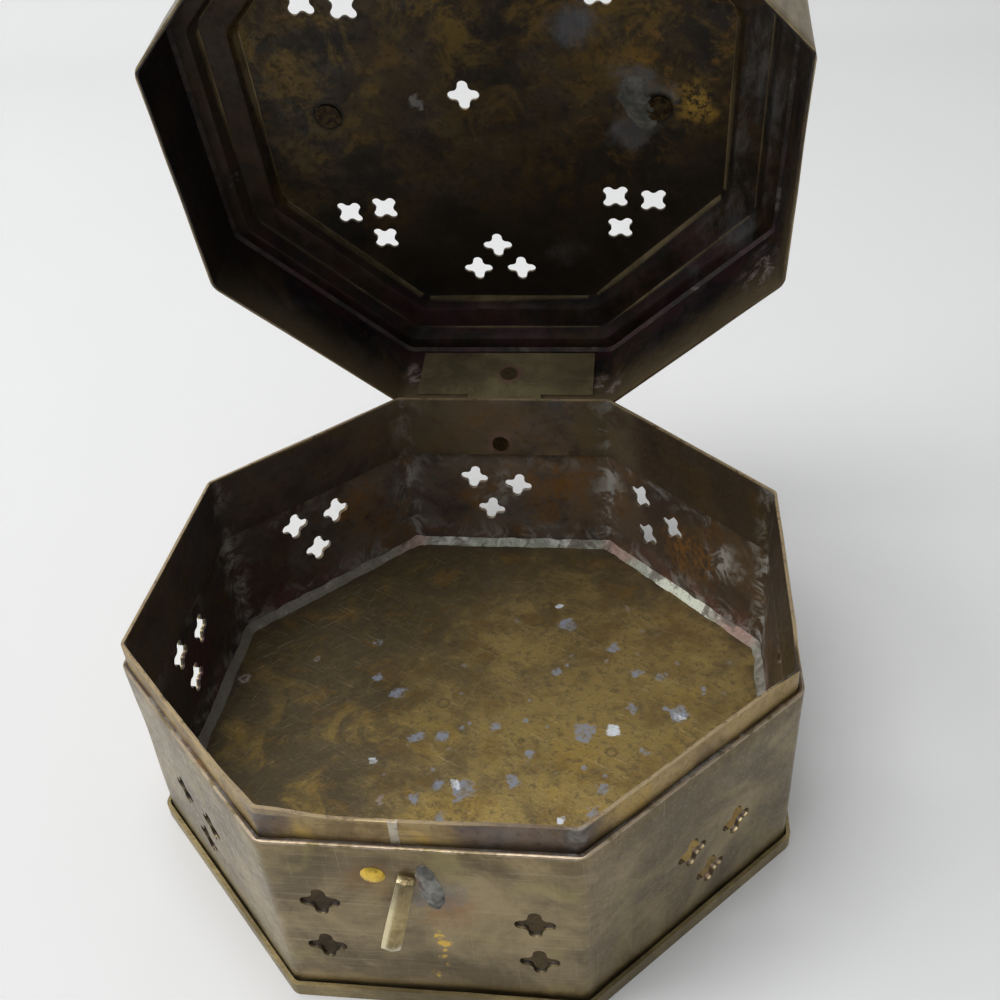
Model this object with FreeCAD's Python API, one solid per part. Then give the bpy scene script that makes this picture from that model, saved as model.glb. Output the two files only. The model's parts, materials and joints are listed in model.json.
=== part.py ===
"""Octagonal pierced brass box with a hinged stepped lid, a latch and a swinging handle.

Origin: centre of the box on the plane that it rests on. +Z up, +Y towards the hinge, -Y towards the
latch. All sizes are in millimetres. The lid is modelled closed and then turned open to its rest
angle together with everything that it carries. Flat sizes are half widths across flats ("flat").
"""
import FreeCAD
import Part
import os
from math import acos, asin, cos, degrees, hypot, radians, sin, tan

V = FreeCAD.Vector
X_AXIS = V(1, 0, 0)
Y_AXIS = V(0, 1, 0)
Z_AXIS = V(0, 0, 1)

# Body: half widths across flats, heights and corner radii
WALL_FLAT = 67.4
WALL_SHEET = 1.0
WALL_TOP = 46.3
WALL_CORNER = 3.0
COLLAR_SHEET = 0.7
COLLAR_BOTTOM = 34.7
COLLAR_TOP = 52.0
COLLAR_CORNER = WALL_CORNER - WALL_SHEET
COLLAR_SEAM_X = -3.6
COLLAR_SEAM_WIDTH = 1.6
FLOOR_TOP = 3.8
BASE_SHEET = 0.8
FOOT_GAP = 0.4
FOOT_RIM_TOP = 3.4
FOOT_CORNER = 2.4
FLOOR_FILLET = 1.1

# Lid, with heights counted from the lower edge of its skirt
LID_SEAT_GAP = 0.1
SKIRT_FLAT = 67.9
SKIRT_SHEET = 0.8
SKIRT_HEIGHT = 20.0
SKIRT_CORNER = 4.0
LID_SHEET = 0.8
STEP_RISE = 4.0
LOWER_STEP = (63.2, 61.3)
UPPER_STEP = (56.0, 54.0)
STEP_CORNER = 5.0
PANEL_CORNER = 2.0
LID_OPEN = 76.0
SEAM_FILLET = 0.9

# Hinge
LEAF_SHEET = 0.55
LEAF_HALF_WIDTH = 23.2
LID_KNUCKLE_HALF = 9.7
KNUCKLE_GAP = 0.2
PIN_RADIUS = 1.0
PIN_CLEARANCE = 0.05
HINGE_Y = 69.75
HINGE_Z = 46.7
LID_LEAF_HEIGHT = 18.0
LID_LEAF_NOTCH = 2.3
BODY_LEAF_BOTTOM = 30.0
BODY_RIVET = (-1.2, 38.2)
LID_RIVET = (0.5, 10.0)

# Latch
CATCH_X = -2.6
CATCH_ROOT_Z = 38.0
CATCH_WIDTH = 3.4
CATCH_SHEET = 0.9
CATCH_DROP = 14.0
CATCH_REACH = 6.0
CATCH_TILT = 14.0
CATCH_TAIL = 3.6
SLOT_HEIGHT = 2.4
FRONT_RIVET = (-8.4, 38.6)
HASP_X = -4.1
HASP_PIVOT_RISE = 3.0
HASP_STANDOFF = 1.7
HASP_WIRE = 0.8
HASP_BORE = 0.88
HASP_SHEET = 0.67
HASP_LENGTH = 27.0
HASP_HALF_WIDTH = 5.3
HASP_KNUCKLE_HALF = 3.8
HASP_PLATE_TOP = 9.6
HASP_FOLD_TILT = 2.0

# Handle
POST_X = (-38.5, 38.5)
POST_SHANK = 3.0
POST_HOLE = 3.25
POST_EYE_HEIGHT = 7.5
POST_EYE_RADIUS = 4.0
BAIL_PIN = 1.5
BAIL_PIN_CLEARANCE = 0.08
BAIL_ROD = 2.0
BAIL_GRIP = 3.2
BAIL_DROP = 22.0
BAIL_INSET = 6.4
BAIL_CORNER = 9.0
BAIL_GAP = 0.3

# Pierced pattern: four-lobed holes, in threes. Wall threes: direction the wall faces in degrees,
# sideways shift, height of the upper pair above the floor, tilt of the pair. Lid threes: direction
# from the centre, sideways shift and outward shift.
LOBE_RADIUS = 1.25
LOBE_REACH = 2.45
WAIST_CENTRE = 2.7
WALL_PAIR = 6.1
WALL_DROP = 9.5
WALL_THREES = (
    (90, 3.2, 21.5, 11.0),
    (135, 2.1, 23.7, 5.0),
    (180, 1.3, 23.6, 14.0),
    (225, -4.5, 20.0, 2.0),
    (315, 5.0, 19.3, -4.0),
    (0, -6.5, 25.5, 0.0),
    (45, 9.8, 21.5, 18.0),
)
FRONT_HOLES = ((-19.2, 25.7), (-19.9, 12.0), (19.1, 22.8), (19.5, 11.1))
LID_PAIR = 5.7
LID_BASE = 45.6
LID_DROP = 7.4
LID_THREES = (
    (90, 1.7, 0.0),
    (135, 2.3, 1.1),
    (45, -3.4, -1.1),
    (225, -2.6, 1.6),
    (315, -1.5, -1.0),
    (270, 0.6, 0.4),
)
LID_CENTRE_HOLE = (-5.9, -4.3)

EIGHTH = 45.0
HALF_EIGHTH = radians(22.5)
THROUGH = 6.0

WALL_INNER = WALL_FLAT - WALL_SHEET
COLLAR_INNER = WALL_INNER - COLLAR_SHEET
SKIRT_INNER = SKIRT_FLAT - SKIRT_SHEET
LID_Z = WALL_TOP + LID_SEAT_GAP
PANEL_Z = LID_Z + SKIRT_HEIGHT + 2 * STEP_RISE
PANEL_OUTSIDE = PANEL_Z + LID_SHEET
KNUCKLE_RADIUS = PIN_RADIUS + PIN_CLEARANCE + LEAF_SHEET

parts = {}


# Shared shapes

def octagon(flat, z, corner):
    """A closed octagonal wire with rounded corners; a flat faces each axis."""
    reach = flat / cos(HALF_EIGHTH)
    cut = corner * tan(HALF_EIGHTH)
    inset = corner / cos(HALF_EIGHTH) - corner
    arcs = []
    for k in range(8):
        turn = radians(EIGHTH * k) + HALF_EIGHTH
        tip = V(reach * cos(turn), reach * sin(turn), z)
        arriving = V(cos(turn + 3 * HALF_EIGHTH), sin(turn + 3 * HALF_EIGHTH), 0)
        leaving = V(cos(turn + 5 * HALF_EIGHTH), sin(turn + 5 * HALF_EIGHTH), 0)
        middle = V((reach - inset) * cos(turn), (reach - inset) * sin(turn), z)
        arcs.append((tip - arriving * cut, middle, tip + leaving * cut))
    edges = []
    for k, (start, middle, end) in enumerate(arcs):
        edges.append(Part.Arc(start, middle, end).toShape())
        edges.append(Part.LineSegment(end, arcs[(k + 1) % 8][0]).toShape())
    return Part.Wire(edges)


def prism(flat, corner, z0, z1):
    return Part.Face(octagon(flat, z0, corner)).extrude(V(0, 0, z1 - z0))


def taper(flat0, z0, flat1, z1, corner0, corner1):
    """A solid between two octagons at different heights."""
    return Part.makeLoft([octagon(flat0, z0, corner0), octagon(flat1, z1, corner1)], True, True)


def band(outer, inner, corner, z0, z1):
    """An upright octagonal band with concentric corners."""
    inner_corner = max(corner - (outer - inner), 0.5)
    return prism(outer, corner, z0, z1).cut(prism(inner, inner_corner, z0, z1))


def quatrefoil():
    """A four-lobed wire in the XY plane, lobes along X and Y, with hollow joins between lobes."""
    join = hypot(WAIST_CENTRE, WAIST_CENTRE - LOBE_REACH) - LOBE_RADIUS
    edges = []
    for k in range(4):
        along = radians(90 * k)
        lobe = V(LOBE_REACH * cos(along), LOBE_REACH * sin(along), 0)
        tip = V((LOBE_REACH + LOBE_RADIUS) * cos(along), (LOBE_REACH + LOBE_RADIUS) * sin(along), 0)
        hollows = []
        for side in (-1, 1):
            diagonal = along + side * radians(45)
            hollows.append(V(cos(diagonal), sin(diagonal), 0) * (WAIST_CENTRE * 2 ** 0.5))
        ends = [lobe + (hollow - lobe).normalize() * LOBE_RADIUS for hollow in hollows]
        edges.append(Part.Arc(ends[0], tip, ends[1]).toShape())
        following = along + radians(90)
        next_lobe = V(LOBE_REACH * cos(following), LOBE_REACH * sin(following), 0)
        next_end = next_lobe + (hollows[1] - next_lobe).normalize() * LOBE_RADIUS
        waist = hollows[1] * (1 - join / hollows[1].Length)
        edges.append(Part.Arc(ends[1], waist, next_end).toShape())
    return Part.Wire(edges)


def punch(x, y):
    """A four-lobed punch through the XY plane."""
    tool = Part.Face(quatrefoil()).extrude(V(0, 0, 2 * THROUGH))
    tool.translate(V(x, y, -THROUGH))
    return tool


def three(pair, drop, turn):
    """Three punches: a pair side by side, and one below and between them."""
    group = [punch(-pair, 0), punch(pair, 0), punch(0, -drop)]
    cluster = Part.makeCompound(group)
    cluster.rotate(V(0, 0, 0), Z_AXIS, turn)
    return cluster


def onto_wall(shape, facing, flat):
    """Stand a shape drawn in XY upright against the wall that faces a direction in degrees."""
    out = V(cos(radians(facing)), sin(radians(facing)), 0)
    along = V(-out.y, out.x, 0)
    upright = FreeCAD.Placement(out * flat, FreeCAD.Rotation(along, Z_AXIS, out))
    placed = shape.copy()
    placed.Placement = upright * placed.Placement
    return placed


def rod(start, direction, radius, length):
    return Part.makeCylinder(radius, length, start, direction)


def block(x0, x1, y0, y1, z0, z1):
    return Part.makeBox(x1 - x0, y1 - y0, z1 - z0, V(x0, y0, z0))


def turned(profile, base, direction):
    """A solid turned from (radius, height) points about an axis at base."""
    points = [V(r, 0, h) for r, h in profile]
    points.append(points[0])
    solid = Part.Face(Part.makePolygon(points)).revolve(V(0, 0, 0), Z_AXIS, 360)
    solid.Placement = FreeCAD.Placement(base, FreeCAD.Rotation(Z_AXIS, direction))
    return solid


def dome(radius, height, base, direction):
    """A low rounded rivet head whose flat side is at base."""
    ball = (radius ** 2 + height ** 2) / (2 * height)
    half_angle = degrees(asin(radius / ball))
    cap = Part.makeSphere(ball, V(0, 0, 0), Z_AXIS, 90 - half_angle, 90, 360)
    floor = Part.makeCone(0, radius, ball - height, V(0, 0, 0), Z_AXIS, 360)
    head = cap.fuse(floor).cut(Part.makeBox(2 * ball, 2 * ball, ball - height, V(-ball, -ball, 0)))
    head.translate(V(0, 0, height - ball))
    head.Placement = FreeCAD.Placement(base, FreeCAD.Rotation(Z_AXIS, direction)) * head.Placement
    return head


def rivet(at, outward, shank, grip, head, head_rise, tail, tail_rise):
    """A rivet: domed head outside, shank through the sheets, clenched flat disc inside."""
    shank_start = at - outward * grip
    body = rod(shank_start, outward, shank, grip)
    outer_head = dome(head, head_rise, at, outward)
    disc = rod(shank_start - outward * tail_rise, outward, tail, tail_rise)
    return body.fuse([outer_head, disc]).removeSplitter()


def ring_tube(outer, inner, x0, x1, y, z):
    """A tube along X."""
    hull = rod(V(x0, y, z), X_AXIS, outer, x1 - x0)
    return hull.cut(rod(V(x0, y, z), X_AXIS, inner, x1 - x0))


# Body

def make_base_tray():
    """Floor pressed up inside, a channel that the wall stands in, and an upturned rim."""
    rim_inner = WALL_FLAT + FOOT_GAP
    rim_outer = rim_inner + BASE_SHEET
    floor_edge = WALL_INNER - 0.1
    under_edge = floor_edge - BASE_SHEET
    channel = band(rim_outer, under_edge, FOOT_CORNER, 0, BASE_SHEET)
    rim = band(rim_outer, rim_inner, FOOT_CORNER, 0, FOOT_RIM_TOP)
    rise = band(floor_edge, under_edge, WALL_CORNER, 0, FLOOR_TOP)
    floor = prism(floor_edge, WALL_CORNER, FLOOR_TOP - BASE_SHEET, FLOOR_TOP)
    return channel.fuse([rim, rise, floor]).removeSplitter()


def wall_punches():
    tools = []
    for facing, shift, height, tilt in WALL_THREES:
        cluster = three(WALL_PAIR, WALL_DROP, tilt)
        cluster.translate(V(shift, FLOOR_TOP + height, 0))
        tools.append(onto_wall(cluster, facing, WALL_FLAT))
    for across, height in FRONT_HOLES:
        tools.append(onto_wall(punch(across, FLOOR_TOP + height), 270, WALL_FLAT))
    return tools


def catch_frame():
    """Place of the catch: X across the strip, Y inwards, Z up along the strip's lean."""
    lean = FreeCAD.Rotation(Y_AXIS, CATCH_TILT)
    return FreeCAD.Placement(V(CATCH_X, -WALL_FLAT, CATCH_ROOT_Z), lean)


def catch_slot():
    slot = block(-CATCH_WIDTH / 2, CATCH_WIDTH / 2, -THROUGH, THROUGH, 0, SLOT_HEIGHT)
    slot.Placement = catch_frame()
    return slot


def front_rivet_point():
    return V(FRONT_RIVET[0], -WALL_FLAT, FRONT_RIVET[1])


def body_rivet_point():
    return V(BODY_RIVET[0], WALL_FLAT + LEAF_SHEET, BODY_RIVET[1])


FRONT_SHANK = 1.3
HINGE_SHANK = 1.4


def mouth_cuts():
    """Holes through both the wall and the collar: two rivets and the catch's slot."""
    front = rod(front_rivet_point() - Y_AXIS * THROUGH, Y_AXIS, FRONT_SHANK, 2 * THROUGH)
    back = rod(body_rivet_point() - Y_AXIS * THROUGH, Y_AXIS, HINGE_SHANK, 2 * THROUGH)
    return [front, back, catch_slot()]


def make_wall_band():
    wall = band(WALL_FLAT, WALL_INNER, WALL_CORNER, BASE_SHEET, WALL_TOP)
    return wall.cut(wall_punches() + mouth_cuts())


def collar_gap():
    half = COLLAR_SEAM_WIDTH / 2
    return block(COLLAR_SEAM_X - half, COLLAR_SEAM_X + half, -WALL_FLAT, -COLLAR_INNER + 1,
                 COLLAR_BOTTOM, COLLAR_TOP)


def make_inner_collar():
    collar = band(WALL_INNER, COLLAR_INNER, COLLAR_CORNER, COLLAR_BOTTOM, COLLAR_TOP)
    return collar.cut(mouth_cuts() + [collar_gap()])


def make_collar_seam():
    """Solder that fills the butt joint of the collar strip."""
    collar = band(WALL_INNER, COLLAR_INNER, COLLAR_CORNER, COLLAR_BOTTOM, COLLAR_TOP)
    return collar.common(collar_gap()).cut(mouth_cuts())


def make_floor_solder():
    top = FLOOR_TOP + FLOOR_FILLET
    outside = prism(WALL_INNER, WALL_CORNER - WALL_SHEET, FLOOR_TOP, top)
    hollow = taper(WALL_INNER - FLOOR_FILLET, FLOOR_TOP, WALL_INNER - 0.1, top, 2.0, 2.0)
    return outside.cut(hollow)


def make_body_hinge_leaf():
    """Plate on the outside of the back wall, stepped out to its two knuckles."""
    outer = WALL_FLAT + LEAF_SHEET
    step_z = HINGE_Z - KNUCKLE_RADIUS
    plate = block(-LEAF_HALF_WIDTH, LEAF_HALF_WIDTH, WALL_FLAT, outer,
                  BODY_LEAF_BOTTOM, step_z + LEAF_SHEET)
    leaf = plate
    inner_end = LID_KNUCKLE_HALF + KNUCKLE_GAP
    for x0, x1 in ((-LEAF_HALF_WIDTH, -inner_end), (inner_end, LEAF_HALF_WIDTH)):
        shelf = block(x0, x1, WALL_FLAT, HINGE_Y, step_z, step_z + LEAF_SHEET)
        knuckle = ring_tube(KNUCKLE_RADIUS, PIN_RADIUS + PIN_CLEARANCE, x0, x1, HINGE_Y, HINGE_Z)
        leaf = leaf.fuse([shelf, knuckle])
    hole = rod(body_rivet_point() - Y_AXIS * THROUGH, Y_AXIS, HINGE_SHANK, 2 * THROUGH)
    return leaf.cut(hole).removeSplitter()


def make_body_hinge_rivet():
    grip = LEAF_SHEET + WALL_SHEET + COLLAR_SHEET
    return rivet(body_rivet_point(), Y_AXIS, HINGE_SHANK, grip, 2.6, 0.9, 2.15, 0.3)


def make_hinge_pin():
    overhang = 0.8
    pin = rod(V(-LEAF_HALF_WIDTH - overhang, HINGE_Y, HINGE_Z), X_AXIS, PIN_RADIUS,
              2 * (LEAF_HALF_WIDTH + overhang))
    ends = []
    for side in (-1, 1):
        start = V(side * (LEAF_HALF_WIDTH + 0.2), HINGE_Y, HINGE_Z)
        ends.append(rod(start, X_AXIS * side, PIN_RADIUS + 0.35, 0.6))
    return pin.fuse(ends).removeSplitter()


def make_latch_catch():
    """Strip whose tail is clenched inside, root passes the slot and tongue leans out and down."""
    inside = WALL_SHEET + COLLAR_SHEET
    sheet = CATCH_SHEET
    lean = acos(CATCH_DROP / hypot(CATCH_DROP, CATCH_REACH - sheet))
    back = sheet / cos(lean)
    outline = [
        (inside, 0), (inside, -CATCH_TAIL), (inside + sheet, -CATCH_TAIL), (inside + sheet, sheet),
        (-back - 0.1, sheet), (-CATCH_REACH - 0.3, -CATCH_DROP + 2.2),
        (-CATCH_REACH - 0.2, -CATCH_DROP + sheet), (-CATCH_REACH + back - 0.2, -CATCH_DROP + sheet),
        (-CATCH_REACH + back - 0.3, -CATCH_DROP + 2.4), (-0.35, -0.6), (0, 0),
    ]
    points = [V(-CATCH_WIDTH / 2, y, z) for y, z in outline]
    points.append(points[0])
    strip = Part.Face(Part.makePolygon(points)).extrude(V(CATCH_WIDTH, 0, 0))
    strip.Placement = catch_frame()
    return strip


def make_catch_solder():
    """Patch of soft solder on the wall, round the root of the catch."""
    outward = V(0, -1, 0)
    centre = V(CATCH_X + 0.6, -WALL_FLAT, CATCH_ROOT_Z + 0.4)
    patch = dome(5.2, 0.45, centre, outward)
    keep_off = rod(front_rivet_point() - Y_AXIS * THROUGH, Y_AXIS, 2.6, 2 * THROUGH)
    return patch.cut([catch_slot(), keep_off, make_latch_catch()])


def make_front_rivet():
    grip = WALL_SHEET + COLLAR_SHEET
    return rivet(front_rivet_point(), V(0, -1, 0), FRONT_SHANK, grip, 2.2, 0.8, 2.0, 0.3)


# Lid, drawn closed

def lid_rivet_point():
    return V(LID_RIVET[0], SKIRT_FLAT, LID_Z + LID_RIVET[1])


def hasp_rivet_points():
    return [V(HASP_X + side * 2.1, -SKIRT_FLAT - HASP_SHEET, LID_Z + 7.6) for side in (-1, 1)]


HASP_SHANK = 0.9


def skirt_cuts():
    tools = [rod(lid_rivet_point() - Y_AXIS * THROUGH, Y_AXIS, HINGE_SHANK, 2 * THROUGH)]
    for point in hasp_rivet_points():
        tools.append(rod(point - Y_AXIS * THROUGH, Y_AXIS, HASP_SHANK, 2 * THROUGH))
    return tools


def make_lid_skirt():
    skirt = band(SKIRT_FLAT, SKIRT_INNER, SKIRT_CORNER, LID_Z, LID_Z + SKIRT_HEIGHT)
    relief = LID_KNUCKLE_HALF + 0.3
    notch = block(-relief, relief, SKIRT_INNER - 1, SKIRT_FLAT + 1, LID_Z, LID_Z + LEAF_SHEET + 0.1)
    return skirt.cut(skirt_cuts() + [notch])


def stepped(outset, lift):
    """The stepped dish as a solid; outset and lift offset it to the outer face of the sheet."""
    low = LID_Z + SKIRT_HEIGHT + lift
    middle = low + STEP_RISE
    high = middle + STEP_RISE
    lower = taper(LOWER_STEP[0] + outset, low, LOWER_STEP[1] + outset, middle,
                  STEP_CORNER, STEP_CORNER)
    upper = taper(UPPER_STEP[0] + outset, middle, UPPER_STEP[1] + outset, high,
                  STEP_CORNER, PANEL_CORNER)
    return lower.fuse(upper)


def make_lid_top():
    """Stepped sheet: rim ledge, step, ledge, step and flat pierced panel."""
    slope = acos(STEP_RISE / hypot(STEP_RISE, LOWER_STEP[0] - LOWER_STEP[1]))
    outset = LID_SHEET * (1 / cos(slope) - tan(slope))
    seat = LID_Z + SKIRT_HEIGHT
    rim = prism(SKIRT_FLAT, SKIRT_CORNER, seat, seat + LID_SHEET)
    base = prism(LOWER_STEP[0] + outset, STEP_CORNER, seat, seat + LID_SHEET)
    solid = rim.fuse([base, stepped(outset, LID_SHEET)])
    solid = solid.cut(stepped(0, 0)).removeSplitter()
    punches = []
    for direction, shift, outward in LID_THREES:
        cluster = three(LID_PAIR, LID_DROP, 0)
        cluster.translate(V(-shift, LID_BASE + outward, 0))
        cluster.rotate(V(0, 0, 0), Z_AXIS, direction - 90)
        punches.append(cluster)
    punches.append(punch(LID_CENTRE_HOLE[0], LID_CENTRE_HOLE[1]))
    for tool in punches:
        tool.translate(V(0, 0, PANEL_Z))
    holes = [rod(V(x, 0, PANEL_Z - THROUGH), Z_AXIS, POST_HOLE, 2 * THROUGH) for x in POST_X]
    return solid.cut(punches + holes)


def make_lid_seam_solder():
    """Fillet of solder in the corner between the skirt and the lid's rim ledge."""
    top = LID_Z + SKIRT_HEIGHT
    corner = SKIRT_CORNER - SKIRT_SHEET
    outside = prism(SKIRT_INNER, corner, top - SEAM_FILLET, top)
    hollow = taper(SKIRT_INNER - 0.1, top - SEAM_FILLET, SKIRT_INNER - SEAM_FILLET, top,
                   corner, corner)
    return outside.cut(hollow)


def make_lid_hinge_leaf():
    """Plate inside the back skirt that turns out under the skirt to the middle knuckle."""
    inner = SKIRT_INNER - LEAF_SHEET
    top = LID_Z + LID_LEAF_HEIGHT
    plate = block(-LEAF_HALF_WIDTH, LEAF_HALF_WIDTH, inner, SKIRT_INNER,
                  LID_Z + LID_LEAF_NOTCH, top)
    tongue = block(-LID_KNUCKLE_HALF, LID_KNUCKLE_HALF, inner, SKIRT_INNER,
                   LID_Z, LID_Z + LID_LEAF_NOTCH)
    bore = PIN_RADIUS + PIN_CLEARANCE
    under = block(-LID_KNUCKLE_HALF, LID_KNUCKLE_HALF, inner, HINGE_Y - bore - 0.2,
                  LID_Z, LID_Z + LEAF_SHEET)
    knuckle = ring_tube(KNUCKLE_RADIUS, bore, -LID_KNUCKLE_HALF, LID_KNUCKLE_HALF,
                        HINGE_Y, HINGE_Z)
    hole = rod(lid_rivet_point() - Y_AXIS * THROUGH, Y_AXIS, HINGE_SHANK, 2 * THROUGH)
    return plate.fuse([tongue, under, knuckle]).cut(hole).removeSplitter()


def make_lid_hinge_rivet():
    grip = SKIRT_SHEET + LEAF_SHEET
    return rivet(lid_rivet_point(), Y_AXIS, HINGE_SHANK, grip, 2.6, 0.9, 2.3, 0.15)


def hasp_pivot():
    return V(HASP_X, -SKIRT_FLAT - HASP_STANDOFF, LID_Z + HASP_PIVOT_RISE)


def make_hasp_bracket():
    """Sheet plate on the front skirt, rolled at its lower end round the loop's top bar."""
    pivot = hasp_pivot()
    half = HASP_KNUCKLE_HALF
    plate = block(HASP_X - half, HASP_X + half, -SKIRT_FLAT - HASP_SHEET, -SKIRT_FLAT,
                  pivot.z, LID_Z + HASP_PLATE_TOP)
    roll = ring_tube(HASP_BORE + HASP_SHEET, HASP_BORE, HASP_X - half, HASP_X + half,
                     pivot.y, pivot.z)
    holes = [rod(point - Y_AXIS * THROUGH, Y_AXIS, HASP_SHANK, 2 * THROUGH)
             for point in hasp_rivet_points()]
    return plate.fuse(roll).cut(holes).removeSplitter()


def make_hasp_bracket_rivets():
    grip = HASP_SHEET + SKIRT_SHEET
    return Part.makeCompound([
        rivet(point, V(0, -1, 0), HASP_SHANK, grip, 1.6, 0.6, 1.5, 0.15)
        for point in hasp_rivet_points()
    ])


def make_hasp_loop():
    """Closed wire loop, drawn folded up against the skirt."""
    half = HASP_HALF_WIDTH
    length = HASP_LENGTH
    top_bend = 1.2
    end_bend = 3.2
    corners = [(-half, 0, top_bend), (half, 0, top_bend), (half, length, end_bend),
               (-half, length, end_bend)]
    steps = ((0, -1), (1, 0), (0, 1), (-1, 0))
    edges = []
    joints = []
    for k, (x, z, bend) in enumerate(corners):
        before = V(steps[k][0], 0, steps[k][1])
        after = V(steps[(k + 1) % 4][0], 0, steps[(k + 1) % 4][1])
        tip = V(x, 0, z)
        start = tip - before * bend
        end = tip + after * bend
        centre = start + after * bend
        middle = centre + (tip - centre).normalize() * bend
        joints.append((start, end))
        edges.append(Part.Arc(start, middle, end).toShape())
    for k in range(4):
        edges.append(Part.LineSegment(joints[k][1], joints[(k + 1) % 4][0]).toShape())
    path = Part.Wire(Part.__sortEdges__(edges))
    section = Part.Wire(Part.Circle(V(0, 0, 0), X_AXIS, HASP_WIRE).toShape())
    loop = path.makePipeShell([section], True, True)
    loop.rotate(V(0, 0, 0), X_AXIS, -HASP_FOLD_TILT)
    loop.translate(hasp_pivot())
    return loop


def eye_point(x):
    return V(x, 0, PANEL_OUTSIDE + POST_EYE_HEIGHT)


def make_handle_post(x):
    """Turned post: clenched shank, foot flange, waisted neck and ball with a cross bore."""
    sole = -LID_SHEET - 0.35
    profile = [(0, sole), (POST_SHANK, sole), (POST_SHANK, 0), (5.6, 0), (5.6, 0.7), (4.9, 1.3),
               (3.3, 1.6), (2.6, 2.4), (2.5, 3.4), (3.1, 4.4), (3.1, 5.0), (0, 5.0)]
    stem = turned(profile, V(x, 0, PANEL_OUTSIDE), Z_AXIS)
    ball = Part.makeSphere(POST_EYE_RADIUS, eye_point(x))
    bore = rod(eye_point(x) - X_AXIS * THROUGH, X_AXIS, BAIL_PIN + BAIL_PIN_CLEARANCE, 2 * THROUGH)
    return stem.fuse(ball).cut(bore).removeSplitter()


def make_handle_bail():
    """Swelled bail between the posts, drawn straight out along +Y from the posts' bores."""
    left = POST_X[0] + BAIL_INSET
    right = POST_X[1] - BAIL_INSET
    span = right - left
    grip_start = BAIL_CORNER
    grip_end = span - BAIL_CORNER
    third = (grip_end - grip_start) / 3
    grip = turned([(0, grip_start), (BAIL_ROD, grip_start), (BAIL_GRIP, grip_start + third),
                   (BAIL_GRIP, grip_end - third), (BAIL_ROD, grip_end), (0, grip_end)],
                  V(left, BAIL_DROP, 0), X_AXIS)
    pieces = [grip]
    for x, outward, post in ((left, -1, POST_X[0]), (right, 1, POST_X[1])):
        elbow = Part.makeSphere(BAIL_ROD, V(x, 0, 0))
        pin_length = abs(post - x) + POST_EYE_RADIUS + 1.0
        pin = rod(V(x, 0, 0), X_AXIS * outward, BAIL_PIN, pin_length)
        peen = rod(V(post + outward * (POST_EYE_RADIUS + 0.3), 0, 0), X_AXIS * outward,
                   BAIL_PIN + 0.5, 0.8)
        arm = rod(V(x, 0, 0), Y_AXIS, BAIL_ROD, BAIL_DROP - BAIL_CORNER)
        bend = Part.makeTorus(BAIL_CORNER, BAIL_ROD, V(0, 0, 0), Z_AXIS, 0, 360, 90)
        bend.rotate(V(0, 0, 0), Z_AXIS, 0 if outward > 0 else 90)
        bend.translate(V(x - outward * BAIL_CORNER, BAIL_DROP - BAIL_CORNER, 0))
        pieces += [elbow, pin, peen, arm, bend]
    bail = pieces[0].fuse(pieces[1:]).removeSplitter()
    droop = degrees(asin((POST_EYE_HEIGHT - BAIL_GRIP - BAIL_GAP) / BAIL_DROP))
    bail.rotate(V(0, 0, 0), X_AXIS, -droop)
    bail.translate(eye_point(0))
    print("handle lies", round(droop, 2), "degrees below the panel's plane")
    return bail


def make_handle_solder():
    """Thin smear of solder under the panel, beside the right post's shank."""
    centre = V(POST_X[1] - 2.6, -1.8, PANEL_Z)
    patch = dome(6.4, 0.4, centre, V(0, 0, -1))
    room = rod(V(POST_X[1], 0, PANEL_Z - THROUGH), Z_AXIS, POST_HOLE, 2 * THROUGH)
    return patch.cut(room)


parts["base_tray"] = make_base_tray()
parts["wall_band"] = make_wall_band()
parts["inner_collar"] = make_inner_collar()
parts["collar_seam"] = make_collar_seam()
parts["floor_solder"] = make_floor_solder()
parts["body_hinge_leaf"] = make_body_hinge_leaf()
parts["body_hinge_rivet"] = make_body_hinge_rivet()
parts["hinge_pin"] = make_hinge_pin()
parts["latch_catch"] = make_latch_catch()
parts["catch_solder"] = make_catch_solder()
parts["front_rivet"] = make_front_rivet()

carried = {
    "lid_skirt": make_lid_skirt(),
    "lid_top": make_lid_top(),
    "lid_seam_solder": make_lid_seam_solder(),
    "lid_hinge_leaf": make_lid_hinge_leaf(),
    "lid_hinge_rivet": make_lid_hinge_rivet(),
    "handle_post_left": make_handle_post(POST_X[0]),
    "handle_post_right": make_handle_post(POST_X[1]),
    "handle_solder": make_handle_solder(),
    "handle_bail": make_handle_bail(),
    "hasp_bracket": make_hasp_bracket(),
    "hasp_bracket_rivets": make_hasp_bracket_rivets(),
    "hasp_loop": make_hasp_loop(),
}
for name, shape in carried.items():
    shape.rotate(V(0, HINGE_Y, HINGE_Z), X_AXIS, -LID_OPEN)
    parts[name] = shape

os.makedirs("parts", exist_ok=True)
for name, shape in parts.items():
    if not shape.isValid() or shape.Volume <= 0:
        raise ValueError(name + " is not a valid solid")
    shape.exportStep("parts/" + name + ".step")
    print(name, len(shape.Solids), "solid(s)", round(shape.Volume, 1), "mm3")

for label, point in (("handle axis", eye_point(0)), ("hasp axis", hasp_pivot())):
    turn = FreeCAD.Rotation(X_AXIS, -LID_OPEN)
    hinge = V(0, HINGE_Y, HINGE_Z)
    print(label, turn.multVec(point - hinge) + hinge)
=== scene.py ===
"""Aged octagonal brass lantern box: hand-finished sheet pieces, patinas, and a plain studio."""
import json
import math
from contextlib import contextmanager

import bpy
from bpy.props import FloatProperty, FloatVectorProperty, PointerProperty
from mathutils import Matrix, Vector


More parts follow.
